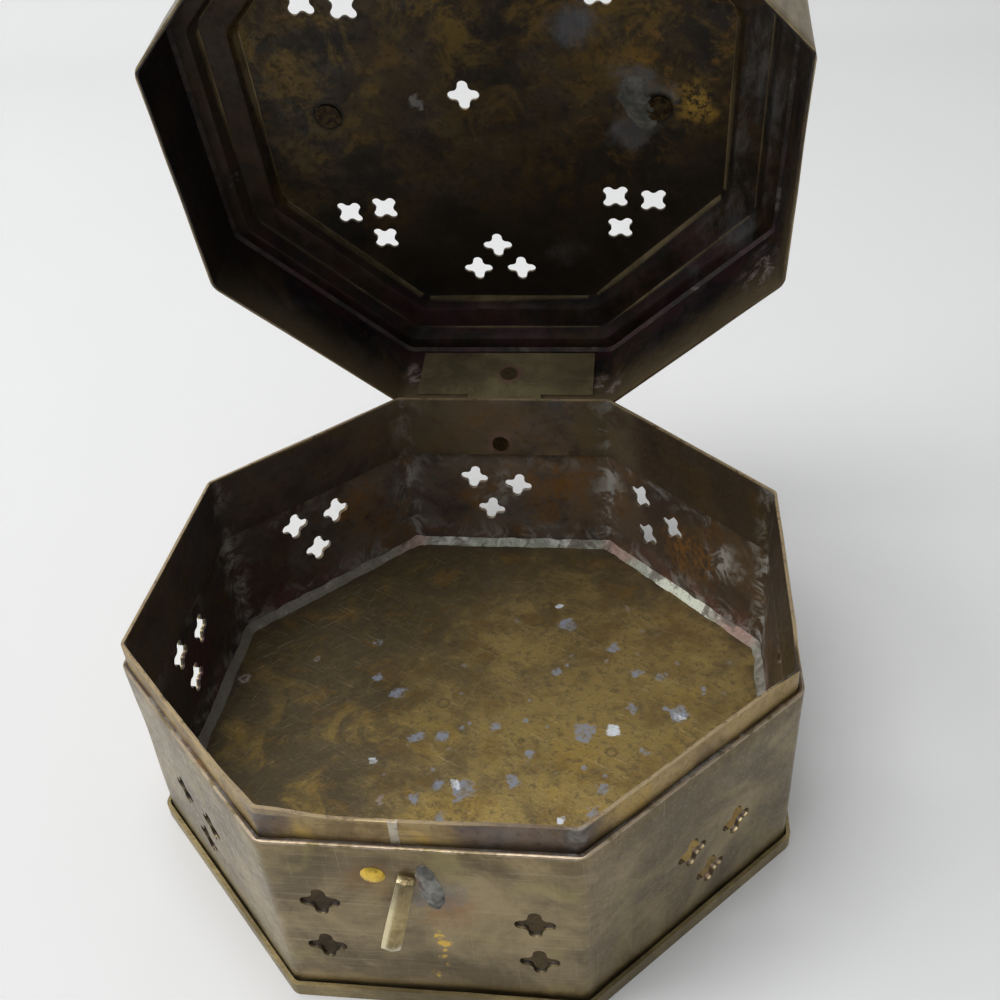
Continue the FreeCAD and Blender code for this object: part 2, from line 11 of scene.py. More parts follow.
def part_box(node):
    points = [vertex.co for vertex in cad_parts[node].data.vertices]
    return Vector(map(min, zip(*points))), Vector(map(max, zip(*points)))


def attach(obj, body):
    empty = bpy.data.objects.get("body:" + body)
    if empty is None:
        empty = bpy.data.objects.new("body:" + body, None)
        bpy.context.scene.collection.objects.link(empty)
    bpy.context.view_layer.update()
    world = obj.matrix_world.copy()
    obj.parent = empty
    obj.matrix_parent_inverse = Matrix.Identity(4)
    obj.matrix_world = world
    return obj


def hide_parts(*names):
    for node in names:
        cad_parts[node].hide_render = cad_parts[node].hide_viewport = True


bl_info = {
    "name": "Brass lantern box",
    "version": (1, 0, 0),
    "blender": (4, 5, 0),
    "location": "3D View > Sidebar > Lantern",
    "description": "Models the pierced brass lantern box round its fixed frame",
    "category": "Object",
}

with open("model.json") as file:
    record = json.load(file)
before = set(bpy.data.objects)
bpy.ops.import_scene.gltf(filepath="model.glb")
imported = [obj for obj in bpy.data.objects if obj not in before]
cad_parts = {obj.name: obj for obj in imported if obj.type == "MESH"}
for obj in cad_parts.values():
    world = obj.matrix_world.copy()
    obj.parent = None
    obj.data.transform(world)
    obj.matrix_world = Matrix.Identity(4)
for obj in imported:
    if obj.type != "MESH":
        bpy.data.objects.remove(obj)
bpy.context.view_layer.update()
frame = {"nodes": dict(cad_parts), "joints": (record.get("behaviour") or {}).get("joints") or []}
NODES = frame["nodes"]

MM = 0.001
HALF_EIGHTH = math.pi / 8
FACE_REACH = math.cos(HALF_EIGHTH)
LID_JOINT = next(j for j in frame["joints"] if j["name"] == "lid_hinge")
HINGE = Vector(LID_JOINT["pos_m"])
LID_OPEN = math.radians(LID_JOINT["range_deg"][1])

WALL_LOW, WALL_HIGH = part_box("wall_band")
TRAY_LOW, TRAY_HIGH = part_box("base_tray")
COLLAR_LOW, COLLAR_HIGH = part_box("inner_collar")
FLOOR_Z = TRAY_HIGH.z

# Pierced groups of three: direction that the wall faces, sideways shift, height of the upper pair
# above the floor and tilt; on the lid: direction from the centre, sideways and outward shift
WALL_THREES = ((90, 3.2, 21.5, 11.0), (135, 2.1, 23.7, 5.0), (180, 1.3, 23.6, 14.0),
               (225, -4.5, 20.0, 2.0), (315, 5.0, 19.3, -4.0), (0, -6.5, 25.5, 0.0),
               (45, 9.8, 21.5, 18.0))
FRONT_HOLES = ((-19.2, 25.7), (-19.9, 12.0), (19.1, 22.8), (19.5, 11.1))
LID_THREES = ((90, 1.7, 0.0), (135, 2.3, 1.1), (45, -3.4, -1.1), (225, -2.6, 1.6),
              (315, -1.5, -1.0), (270, 0.6, 0.4))
# The lid's profile from its rim inwards: width of each ring and how far it rises
LID_STEPS = ((4.2, 0.0), (0.5, 0.25), (1.3, 3.5), (0.6, 0.25), (4.6, 0.0), (0.6, 0.25),
             (1.4, 3.5), (0.7, 0.25))
# Places where the collar is bent: centre, reach and push
COLLAR_BENDS = (((-27, -66, 52), 14, (0, 0.5, 1.2)), ((20, -66, 52), 22, (0, 0.9, -0.5)),
                ((66, -27, 52), 12, (-0.3, 0, -0.8)), ((-50, 50, 52), 16, (0.4, -0.4, 0.3)))

# The catch: place, height of its root, sideways tilt and width; then each step outwards,
# downwards and in width
CATCH_X = -2.6
CATCH_ROOT = 38.0
CATCH_TILT = math.radians(14.0)
CATCH_WIDTH = 3.2
CATCH_PATH = ((0.7, 0.3, 1.0), (0.9, 1.5, 1.04), (1.0, 2.6, 1.04), (1.05, 2.9, 1.03),
              (1.1, 2.9, 1.02), (0.6, 2.4, 1.0), (-0.2, 1.2, 0.96), (-0.7, 0.5, 0.86))

# The closed lid's lower edge, the seat of its top, its flat panel and how far out its skirt is
LID_EDGE = WALL_HIGH.z + 0.1 * MM
LID_SEAT = LID_EDGE + 20.0 * MM
PANEL = LID_EDGE + 28.0 * MM
SKIRT_FLAT = 67.9 * MM
SKIRT_EDGE = SKIRT_FLAT / MM
COLLAR_DEPTH = WALL_HIGH.z - COLLAR_LOW.z
TRAY_RIM = TRAY_LOW.z + 6.4 * MM

# Distances from the middle in millimetres: handle posts, wall's face and floor solder's edges
POST_SIDE = 38.5
WALL_FACE = 67.4
SOLDER_OUTER = 66.3
SOLDER_INNER = 64.3


class LanternSizes(bpy.types.PropertyGroup):
    """Sizes of the hand-finished sheet work."""
    wall_sheet: FloatProperty(name="Wall sheet", description="Thickness of the wall's sheet",
                              default=1.0 * MM, unit="LENGTH")
    collar_sheet: FloatProperty(name="Collar sheet", description="Thickness of the collar's sheet",
                                default=0.7 * MM, unit="LENGTH")
    lid_sheet: FloatProperty(name="Lid sheet", description="Thickness of the lid's sheet",
                             default=0.8 * MM, unit="LENGTH")
    wall_corner: FloatProperty(name="Wall corner", description="Outer corner radius of the wall",
                               default=3.0 * MM, unit="LENGTH")
    skirt_corner: FloatProperty(name="Skirt corner", description="Outer corner radius of the skirt",
                                default=4.0 * MM, unit="LENGTH")
    lobe_radius: FloatProperty(name="Lobe radius", description="Radius of a pierced hole's lobes",
                               default=1.25 * MM, unit="LENGTH")
    lobe_span: FloatProperty(name="Lobe span", description="Width of a pierced hole over its lobes",
                             default=7.4 * MM, unit="LENGTH")
    dent_depth: FloatProperty(name="Dent depth", description="Height of the sheet's unevenness",
                              default=0.5 * MM, unit="LENGTH")
    solder_lump: FloatProperty(name="Solder lump", description="Unevenness of the solder lines",
                               default=0.8 * MM, unit="LENGTH")


class LanternColours(bpy.types.PropertyGroup):
    """Base colours that the finishes vary."""
    olive_brass: FloatVectorProperty(name="Olive brass", description="Aged brass in the open",
                                     default=(0.355, 0.252, 0.085), subtype="COLOR")
    dark_patina: FloatVectorProperty(name="Dark patina", description="Oxide inside the box",
                                     default=(0.078, 0.062, 0.056), subtype="COLOR")
    brown_patina: FloatVectorProperty(name="Brown patina", description="Brown oxide inside the box",
                                      default=(0.190, 0.132, 0.088), subtype="COLOR")
    solder_grey: FloatVectorProperty(name="Solder grey", description="Soft solder",
                                     default=(0.36, 0.35, 0.31), subtype="COLOR")


class LanternStage(bpy.types.PropertyGroup):
    """Studio floor and light."""
    floor_tone: FloatProperty(name="Floor tone", description="How pale the floor is",
                              default=0.665, min=0.0, max=1.0, subtype="FACTOR")
    surround: FloatProperty(name="Surround light", description="Strength of the even light",
                            default=0.30, min=0.0)
    top_power: FloatProperty(name="Top light", description="Power of the large top light",
                             default=18.0, min=0.0, unit="POWER")
    side_power: FloatProperty(name="Side light", description="Power of the light on the left",
                              default=9.0, min=0.0, unit="POWER")


def sizes():
    return bpy.context.scene.lantern_sizes


def colours():
    return bpy.context.scene.lantern_colours


# Small helpers for modelling

def closed_to_open():
    """The turn that takes the closed lid to its rest angle."""
    turn = Matrix.Rotation(-LID_OPEN, 4, "X")
    return Matrix.Translation(HINGE) @ turn @ Matrix.Translation(-HINGE)


def deselect():
    """Object mode, with nothing selected."""
    if bpy.context.mode != "OBJECT":
        bpy.ops.object.mode_set(mode="OBJECT")
    bpy.ops.object.select_all(action="DESELECT")


def take(piece):
    """Makes a piece the one that is selected and active."""
    deselect()
    piece.select_set(True)
    bpy.context.view_layer.objects.active = piece


def freeze():
    """Puts the active piece's place, turn and scale into its mesh."""
    bpy.ops.object.transform_apply(location=True, rotation=True, scale=True)


@contextmanager
def chosen(piece, kind, test):
    """Edit mode with the vertices, edges or faces that pass a test; object mode afterwards."""
    bpy.context.view_layer.objects.active = piece
    bpy.ops.object.mode_set(mode="EDIT")
    bpy.ops.mesh.select_mode(type=kind)
    bpy.ops.mesh.select_all(action="DESELECT")
    bpy.ops.object.mode_set(mode="OBJECT")
    mesh = piece.data
    if kind == "FACE":
        for face in mesh.polygons:
            face.select = test(face.center, face.normal)
    elif kind == "EDGE":
        for edge in mesh.edges:
            first, second = (mesh.vertices[i].co for i in edge.vertices)
            edge.select = test(first, second)
    else:
        for vertex in mesh.vertices:
            vertex.select = test(vertex.co)
    bpy.ops.object.mode_set(mode="EDIT")
    yield
    bpy.ops.object.mode_set(mode="OBJECT")


def everywhere(*_):
    """A test that every face passes."""
    return True


def done(piece, angle=30.0):
    """Smooth shading, broken at real edges."""
    take(piece)
    bpy.ops.object.shade_smooth_by_angle(angle=math.radians(angle))
    return piece


def apply(piece, kind, **values):
    """Adds a modifier, sets it and applies it."""
    take(piece)
    made = piece.modifiers.new(kind.lower(), kind)
    for key, value in values.items():
        setattr(made, key, value)
    bpy.ops.object.modifier_apply(modifier=made.name)


def flat_reach(point):
    """Half width across flats of the octagon that a point is on."""
    across, along = abs(point.x), abs(point.y)
    return max(across, along, (across + along) * math.sqrt(0.5))


def across_corner(first, second):
    """An edge that runs in line with one of the octagon's corners."""
    if (first - second).length < 0.05 * MM:
        return False
    turns = [math.atan2(point.y, point.x) / (2 * HALF_EIGHTH) - 0.5 for point in (first, second)]
    on_corner = all(abs(turn - round(turn)) < 0.01 for turn in turns)
    return on_corner and abs(turns[0] - turns[1]) < 0.01


def crosscut(piece, pitch, count):
    """Cuts a sheet into squares, so that it can take dents."""
    for step in range(-count, count + 1):
        for way in ((1, 0, 0), (0, 1, 0)):
            with chosen(piece, "FACE", everywhere):
                place = tuple(step * pitch * axis for axis in way)
                bpy.ops.mesh.bisect(plane_co=place, plane_no=way)


def face_towards(piece, way):
    """Turns the sheet's faces over when its largest one looks away from a direction."""
    if max(piece.data.polygons, key=lambda face: face.area).normal.dot(way) < 0:
        with chosen(piece, "FACE", everywhere):
            bpy.ops.mesh.flip_normals()


def face_up(piece):
    """Makes the sheet's largest face point upwards, and the others with it."""
    with chosen(piece, "FACE", everywhere):
        bpy.ops.mesh.normals_make_consistent(inside=False)
    face_towards(piece, Vector((0, 0, 1)))


def upright(first, second):
    """An edge that runs up and down."""
    return abs(first.z - second.z) > 0.9 * (first - second).length


def level(first, second):
    """An edge that lies level."""
    return abs(first.z - second.z) < 1e-6


def round_corners(piece, test, radius, segments):
    """Rounds the octagon's corners, along the edges that pass a test."""
    with chosen(piece, "EDGE", test):
        bpy.ops.mesh.bevel(offset=radius * math.tan(HALF_EIGHTH), segments=segments,
                           affect="EDGES")


def octagon_plate(name, flat, height):
    """A flat eight-sided sheet without thickness."""
    deselect()
    bpy.ops.mesh.primitive_circle_add(
        vertices=8, radius=flat / FACE_REACH, fill_type="NGON", location=(0, 0, height),
        rotation=(0, 0, HALF_EIGHTH))
    piece = bpy.context.object
    piece.name = name
    freeze()
    return piece


def octagon_band(name, flat, low, high, corner, columns, rows):
    """An eight-sided sheet band with rounded corners, cut into a grid that can take dents."""
    deselect()
    bpy.ops.mesh.primitive_cylinder_add(
        vertices=8, radius=flat / FACE_REACH, depth=high - low, end_fill_type="NOTHING",
        location=(0, 0, (low + high) / 2), rotation=(0, 0, HALF_EIGHTH))
    piece = bpy.context.object
    piece.name = name
    piece.data.name = name
    freeze()
    round_corners(piece, upright, corner, 5)
    with chosen(piece, "EDGE", lambda a, b: level(a, b) and (a - b).length > 12 * MM):
        bpy.ops.mesh.subdivide(number_cuts=columns)
    with chosen(piece, "EDGE", upright):
        bpy.ops.mesh.subdivide(number_cuts=rows)
    return piece


def soften_rims(piece, low, high, width):
    """Rounds the sheet's cut edges along its lower and upper rims."""
    def along_rim(a, b):
        at_rim = abs(a.z - low) < 0.02 * MM or abs(a.z - high) < 0.02 * MM
        return level(a, b) and at_rim and abs(flat_reach(a) - flat_reach(b)) < 0.25 * MM

    with chosen(piece, "EDGE", along_rim):
        bpy.ops.mesh.bevel(offset=width, segments=2, affect="EDGES")


def mark(piece, name, weigh):
    """Names a group of vertices, each with the weight that weigh gives for its place."""
    group = piece.vertex_groups.new(name=name)
    for vertex in piece.data.vertices:
        group.add([vertex.index], float(weigh(vertex.co)), "REPLACE")


def dent(piece, name, size, depth, group="", way="NORMAL"):
    """Shallow hand-made unevenness; size is a dent's width and depth its whole height."""
    pattern = bpy.data.textures.new(name, "CLOUDS")
    pattern.noise_scale = size * MM
    pattern.noise_depth = 1
    apply(piece, "DISPLACE", texture=pattern, texture_coords="LOCAL", strength=depth * MM,
          mid_level=0.5, vertex_group=group, direction=way)


def nudge(piece, centre, reach, move):
    """Pushes the sheet at a point, with a soft fall-off; sizes in millimetres."""
    spot = Vector(centre) * MM
    nearest = min((vertex.co for vertex in piece.data.vertices),
                  key=lambda co: (co - spot).length)
    target = nearest.copy()
    with chosen(piece, "VERT", lambda co: (co - target).length < 0.02 * MM):
        bpy.ops.transform.translate(
            value=tuple(step * MM for step in move), use_proportional_edit=True,
            proportional_edit_falloff="SMOOTH", proportional_size=reach * MM)


def four_lobed_punch():
    """A cross with rounded arms and hollow joins, to punch sheets with."""
    deselect()
    arm = 2 * sizes().lobe_radius
    half_span = sizes().lobe_span / 2
    bpy.ops.mesh.primitive_cube_add(size=1.0, location=(0, 0, 0), scale=(arm, arm, 8 * MM))
    punch = bpy.context.object
    punch.name = "punch"
    freeze()
    for way in (Vector((1, 0, 0)), Vector((-1, 0, 0)), Vector((0, 1, 0)), Vector((0, -1, 0))):
        with chosen(punch, "FACE", lambda centre, normal: normal.dot(way) > 0.9
                    and centre.length < arm):
            bpy.ops.mesh.extrude_region_move(
                TRANSFORM_OT_translate={"value": tuple(way * (half_span - arm / 2))})
    tip = half_span - 0.01 * MM
    with chosen(punch, "EDGE", lambda a, b: upright(a, b) and max(abs(a.x), abs(a.y)) > tip):
        bpy.ops.mesh.bevel(offset=arm / 2 - 0.02 * MM, segments=8, affect="EDGES")
    with chosen(punch, "EDGE", lambda a, b: upright(a, b) and abs(abs(a.x) - arm / 2) < 1e-5
                and abs(abs(a.y) - arm / 2) < 1e-5):
        bpy.ops.mesh.bevel(offset=1.12 * MM, segments=6, affect="EDGES")
    return punch


def punch_holes(piece, places):
    """Cuts a four-lobed hole at each place, a matrix whose Z axis goes through the sheet."""
    pattern = four_lobed_punch()
    copies = []
    for place in places:
        copy = pattern.copy()
        copy.data = pattern.data.copy()
        bpy.context.scene.collection.objects.link(copy)
        copy.matrix_world = place
        copies.append(copy)
    cut_with(piece, copies)
    bpy.data.objects.remove(pattern)


def cut_with(piece, cutters):
    """Joins the cutters, subtracts them from the piece and removes them."""
    deselect()
    for cutter in cutters:
        cutter.select_set(True)
    bpy.context.view_layer.objects.active = cutters[0]
    if len(cutters) > 1:
        bpy.ops.object.join()
    tool = cutters[0]
    freeze()
    apply(piece, "BOOLEAN", operation="DIFFERENCE", solver="EXACT", object=tool)
    bpy.data.objects.remove(tool)


def round_cutter(start, axis, radius, length):
    """A round bar to cut holes with, centred on its start."""
    deselect()
    bpy.ops.mesh.primitive_cylinder_add(vertices=32, radius=radius, depth=length, location=start)
    tool = bpy.context.object
    tool.rotation_euler = Vector(axis).to_track_quat("Z", "Y").to_euler()
    bpy.context.view_layer.update()
    return tool


def on_face(facing, flat, across, height, tilt=0.0):
    """Place on an upright face: X along the face, Y up and Z outwards."""
    turn = math.radians(facing)
    out = Vector((math.cos(turn), math.sin(turn), 0))
    along = Vector((-out.y, out.x, 0))
    basis = Matrix((along, Vector((0, 0, 1)), out)).transposed().to_4x4()
    spot = out * flat + along * across + Vector((0, 0, height))
    return Matrix.Translation(spot) @ basis @ Matrix.Rotation(tilt, 4, "Z")


def lay_open(piece):
    """Turns a piece that was modelled on the closed lid to the lid's rest angle."""
    take(piece)
    piece.matrix_world = closed_to_open() @ piece.matrix_world
    freeze()


def solder_patch(name, place, width, height, lump, turned=False, ragged=1.0):
    """A ragged, slightly domed patch of solder; its place is a matrix with Z off the sheet."""
    deselect()
    bpy.ops.mesh.primitive_circle_add(vertices=40, radius=0.5 * MM, fill_type="NGON")
    piece = bpy.context.object
    piece.name = name
    piece.scale = (width, height, 1)
    freeze()
    with chosen(piece, "FACE", everywhere):
        share = min(width, height) / 2
        for inward, rise in ((0.16, 0.5), (0.2, 0.3), (0.25, 0.2)):
            bpy.ops.mesh.inset(thickness=inward * share * MM)
            bpy.ops.transform.translate(value=(0, 0, rise * lump * MM))
        bpy.ops.mesh.poke()
    dent(piece, name + " outline across", share * 1.1, share * 1.1 * ragged, way="X")
    dent(piece, name + " outline along", share * 1.3, share * 0.9 * ragged, way="Y")
    dent(piece, name + " lumps", 1.6, lump * 0.7, way="Z")
    if turned:
        place = closed_to_open() @ place
    piece.matrix_world = place
    freeze()
    return piece


def settle(piece, body, node, material):
    """Gives a finished piece its body and its finish, and hides the CAD node it stands for."""
    piece.data.materials.clear()
    piece.data.materials.append(material)
    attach(piece, body)
    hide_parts(node)


# Finishes

class Finish:
    """A procedural finish in the piece's own coordinates, or in the closed lid's."""

    def __init__(self, name, on_lid=False):
        self.material = bpy.data.materials.new(name)
        self.material.use_nodes = True
        self.tree = self.material.node_tree
        self.tree.nodes.clear()
        self.output = self.tree.nodes.new("ShaderNodeOutputMaterial")
        self.place = self.tree.nodes.new("ShaderNodeTexCoord").outputs["Object"]
        if on_lid:
            back = Matrix.Rotation(LID_OPEN, 3, "X")
            shift = HINGE - back @ HINGE
            self.place = self.mapped((LID_OPEN, 0, 0), tuple(shift), (1, 1, 1))

    def node(self, kind, **values):
        made = self.tree.nodes.new(kind)
        for key, value in values.items():
            setattr(made, key, value)
        return made

    def link(self, source, target):
        if hasattr(source, "is_output"):
            self.tree.links.new(source, target)
        else:
            target.default_value = source

    def mapped(self, turn, shift, stretch, place=None):
        made = self.node("ShaderNodeMapping")
        self.link(place or self.place, made.inputs["Vector"])
        made.inputs["Location"].default_value = shift
        made.inputs["Rotation"].default_value = turn
        made.inputs["Scale"].default_value = stretch
        return made.outputs["Vector"]

    def cloud(self, size, detail=4.0, rough=0.55, warp=0.0, seed=0.0, stretch=(1, 1, 1)):
        """Soft noise; size is a blotch's width in millimetres."""
        place = self.mapped((0, 0, 0), (seed, seed * 0.7, -seed * 0.4), stretch)
        made = self.node("ShaderNodeTexNoise")
        self.link(place, made.inputs["Vector"])
        made.inputs["Scale"].default_value = 1000.0 / size
        made.inputs["Detail"].default_value = detail
        made.inputs["Roughness"].default_value = rough
        made.inputs["Distortion"].default_value = warp
        return made.outputs["Fac"]

    def cells(self, size, seed=0.0):
        """Distance from scattered points; size is their usual spacing in millimetres."""
        place = self.mapped((0, 0, 0), (seed, -seed, seed * 0.3), (1, 1, 1))
        made = self.node("ShaderNodeTexVoronoi")
        self.link(place, made.inputs["Vector"])
        made.inputs["Scale"].default_value = 1000.0 / size
        return made.outputs["Distance"]

    def scratches(self, length, width, turn, seed=0.0):
        """Fine parallel hairlines; turn is their direction as an Euler rotation."""
        place = self.mapped(turn, (seed, seed, seed), (1, 1, 1))
        stretched = self.mapped((0, 0, 0), (0, 0, 0), (1000.0 / length, 1000.0 / width,
                                                       1000.0 / width), place)
        made = self.node("ShaderNodeTexNoise")
        self.link(stretched, made.inputs["Vector"])
        made.inputs["Scale"].default_value = 1.0
        made.inputs["Detail"].default_value = 3.0
        made.inputs["Roughness"].default_value = 0.7
        made.inputs["Distortion"].default_value = 0.3
        return made.outputs["Fac"]

    def fade(self, value, low, high):
        """0 below low and 1 above high, with a soft change between."""
        made = self.node("ShaderNodeMapRange", interpolation_type="SMOOTHSTEP")
        self.link(value, made.inputs["Value"])
        made.inputs["From Min"].default_value = low
        made.inputs["From Max"].default_value = high
        return made.outputs["Result"]

    def maths(self, operation, first, second=0.0, clamp=False):
        made = self.node("ShaderNodeMath", operation=operation, use_clamp=clamp)
        self.link(first, made.inputs[0])
        self.link(second, made.inputs[1])
        return made.outputs[0]

    def both(self, *masks):
        """Where all masks are; a number among them is the strength."""
        product = masks[0]
        for mask in masks[1:]:
            product = self.maths("MULTIPLY", product, mask)
        return product

    def either(self, *masks):
        """Where any of the masks is."""
        total = masks[0]
        for mask in masks[1:]:
            total = self.maths("MAXIMUM", total, mask)
        return total

    def axes(self):
        made = self.node("ShaderNodeSeparateXYZ")
        self.link(self.place, made.inputs["Vector"])
        return made.outputs["X"], made.outputs["Y"], made.outputs["Z"]

    def spot(self, centre, radius, ragged=0.35, seed=0.0, core=0.55):
        """1 inside a ragged patch round a point; sizes in millimetres."""
        made = self.node("ShaderNodeVectorMath", operation="DISTANCE")
        self.link(self.place, made.inputs[0])
        made.inputs[1].default_value = tuple(c * MM for c in centre)
        wobble = self.cloud(radius * 0.8 + 1.0, 5.0, 0.65, 0.0, seed + 3.1)
        wobble = self.maths("MULTIPLY", self.maths("SUBTRACT", wobble, 0.5),
                            radius * ragged * 4 * MM)
        distance = self.maths("ADD", made.outputs["Value"], wobble)
        inside = self.fade(distance, radius * core * MM, radius * MM)
        return self.maths("SUBTRACT", 1.0, inside, True)

    def spatter(self, drops, seed):
        """1 inside ragged drops, each a place and a radius in millimetres."""
        nearest = 1.0
        for *place, radius in drops:
            made = self.node("ShaderNodeVectorMath", operation="DISTANCE")
            self.link(self.place, made.inputs[0])
            made.inputs[1].default_value = tuple(c * MM for c in place)
            rim = self.maths("SUBTRACT", made.outputs["Value"], radius * MM)
            nearest = self.maths("MINIMUM", nearest, rim)
        wobble = self.maths("SUBTRACT", self.cloud(2.4, 5, 0.68, 0.3, seed), 0.5)
        rim = self.maths("ADD", nearest, self.maths("MULTIPLY", wobble, 6.0 * MM))
        return self.fade(rim, 0.35 * MM, -0.35 * MM)

    def toned(self, mask, below, above):
        """A colour between two colours or sockets, chosen by the mask."""
        made = self.node("ShaderNodeMix", data_type="RGBA")
        self.link(mask, made.inputs["Factor"])
        self.link(colour(below), made.inputs["A"])
        self.link(colour(above), made.inputs["B"])
        return made.outputs["Result"]

    def valued(self, mask, below, above):
        """A plain value between two, chosen by the mask."""
        made = self.node("ShaderNodeMix", data_type="FLOAT")
        self.link(mask, made.inputs["Factor"])
        self.link(below, made.inputs["A"])
        self.link(above, made.inputs["B"])
        return made.outputs["Result"]

    def uneven(self, grain, low, high):
        """A value that wavers between two with the fine grain."""
        return self.valued(self.fade(grain, 0.3, 0.7), low, high)

    def relief(self, *bumps):
        """Bumps laid over each other, each a height and its full depth in millimetres."""
        normal = None
        for height, depth in bumps:
            made = self.node("ShaderNodeBump")
            made.inputs["Strength"].default_value = 1.0
            made.inputs["Distance"].default_value = depth * MM
            self.link(height, made.inputs["Height"])
            if normal is not None:
                self.link(normal, made.inputs["Normal"])
            normal = made.outputs["Normal"]
        return normal

    def finished(self, base, rough, metal, normal=None):
        shader = self.node("ShaderNodeBsdfPrincipled")
        self.link(colour(base), shader.inputs["Base Color"])
        self.link(rough, shader.inputs["Roughness"])
        self.link(metal, shader.inputs["Metallic"])
        if normal is not None:
            self.link(normal, shader.inputs["Normal"])
        self.tree.links.new(shader.outputs["BSDF"], self.output.inputs["Surface"])
        return self.material


def colour(value):
    """Red, green and blue as an opaque colour; sockets pass through."""
    if isinstance(value, tuple) and len(value) == 3:
        return (*value, 1.0)
    return value


# Colours that several finishes share
SMOKE = (0.15, 0.145, 0.145)
BLUE_SPOT = (0.215, 0.235, 0.285)
COPPER_PINK = (0.36, 0.13, 0.09)
PLUM = (0.075, 0.022, 0.034)
VERDIGRIS = (0.24, 0.29, 0.21)
RUBBED_YELLOW = (0.78, 0.50, 0.08)

# Spilt flux on the floor: place and radius
BLUE_DROPS = ((18, 33, 2.2), (30, 25, 1.5), (36, 17, 1.4), (42, 16, 1.2), (16, 16, 1.0),
              (46, 4, 2.3), (35, 5, 1.3), (24, -3, 2.5), (-15, -7, 1.6), (-9, -6, 1.5),
              (3, -2, 1.1), (9, -18, 1.6), (-2, -21, 2.6), (-8, -20, 1.2), (-13, -24, 1.1),
              (-6, -29, 1.2), (4, -32, 2.2), (27, -25, 1.3), (29, -19, 1.4), (-28, 12, 1.2),
              (-22, 7, 1.6), (-31, 24, 1.0), (52, 12, 0.9), (12, -10, 0.9), (38, -8, 1.0))
PALE_DROPS = ((31, -2, 1.7), (6, -33, 1.1), (46, 3, 1.0), (-4, -20, 0.9), (20, -28, 0.8),
              (-24, -14, 0.7), (15, 40, 0.7))
RING_DROPS = ((-62, 10, 1.5), (-45, 18, 0.7), (-20, -25, 0.8), (33, 40, 0.7))


def middle(node):
    """A node's centre in millimetres."""
    low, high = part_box(node)
    return tuple((low + high) / (2 * MM))


def rim_distance(f, flat):
    """How far a point is inside the octagon whose half width across flats is given, in metres."""
    x, y = f.axes()[:2]
    across = f.maths("ABSOLUTE", x)
    along = f.maths("ABSOLUTE", y)
    slant = f.maths("MULTIPLY", f.maths("ADD", across, along), math.sqrt(0.5))
    reach = f.either(across, along, slant)
    return f.maths("SUBTRACT", flat * MM, reach)


def corner_nearness(f, width):
    """1 at the eight upright corners, falling to 0 within a width in millimetres."""
    x, y = f.axes()[:2]
    angle = f.maths("ARCTAN2", y, x)
    turns = f.maths("ADD", f.maths("DIVIDE", angle, math.pi / 4), 0.5 + 8)
    share = f.maths("ABSOLUTE", f.maths("SUBTRACT", f.maths("FRACT", turns), 0.5))
    apart = f.maths("MULTIPLY", f.maths("SUBTRACT", 0.5, share), 53.0 * MM)
    wobble = f.maths("MULTIPLY", f.cloud(6, 4, 0.6, 0.0, 41.0), width * 0.9 * MM)
    return f.maths("SUBTRACT", 1.0, f.fade(f.maths("ADD", apart, wobble), width * 0.4 * MM,
                                           width * MM), True)


def outward_side(f):
    """1 on the lid's outer face: above a line that runs through the middle of the stepped sheet."""
    z = f.axes()[2]
    reach = f.maths("SUBTRACT", SKIRT_EDGE * MM, rim_distance(f, SKIRT_EDGE))
    knots = ((53.0, 28.4), (54.25, 28.4), (56.25, 24.4), (61.55, 24.4), (63.45, 20.4),
             (70.0, 20.4))
    ramp = f.node("ShaderNodeFloatCurve")
    curve = ramp.mapping.curves[0]
    near, far = 50.0, 70.0
    bottom, tall = 18.0, 12.0
    curve.points[0].location = (0.0, (knots[0][1] - bottom) / tall)
    curve.points[1].location = (1.0, (knots[-1][1] - bottom) / tall)
    for out, up in knots[1:-1]:
        curve.points.new((out - near) / (far - near), (up - bottom) / tall)
    for point in curve.points:
        point.handle_type = "VECTOR"
    ramp.mapping.update()
    share = f.maths("DIVIDE", f.maths("SUBTRACT", reach, near * MM), (far - near) * MM, True)
    f.link(share, ramp.inputs["Value"])
    line = f.maths("ADD", f.maths("MULTIPLY", ramp.outputs[0], tall * MM), LID_EDGE + bottom * MM)
    return f.fade(f.maths("SUBTRACT", z, line), -0.12 * MM, 0.12 * MM)


def inner_oxide(f, seed, night, brown, orange, smoky=0.45):
    """Dark oxide with brown and orange cloud and thin grey smoke."""
    blotch = f.cloud(22, 6, 0.62, 0.6, seed)
    fine = f.cloud(2.2, 6, 0.72, 0.0, seed + 1)
    deep = f.toned(f.fade(blotch, 0.40, 0.60), night, brown)
    warm = f.both(f.fade(f.cloud(10, 6, 0.66, 0.7, seed + 7), 0.50, 0.66), 0.75)
    deep = f.toned(warm, deep, orange)
    smoke = f.both(f.fade(f.cloud(13, 6, 0.70, 0.5, seed + 12), 0.48, 0.70), smoky)
    deep = f.toned(smoke, deep, SMOKE)
    return f.toned(f.both(f.fade(fine, 0.50, 0.70), 0.55), deep, tuple(c * 0.5 for c in night))


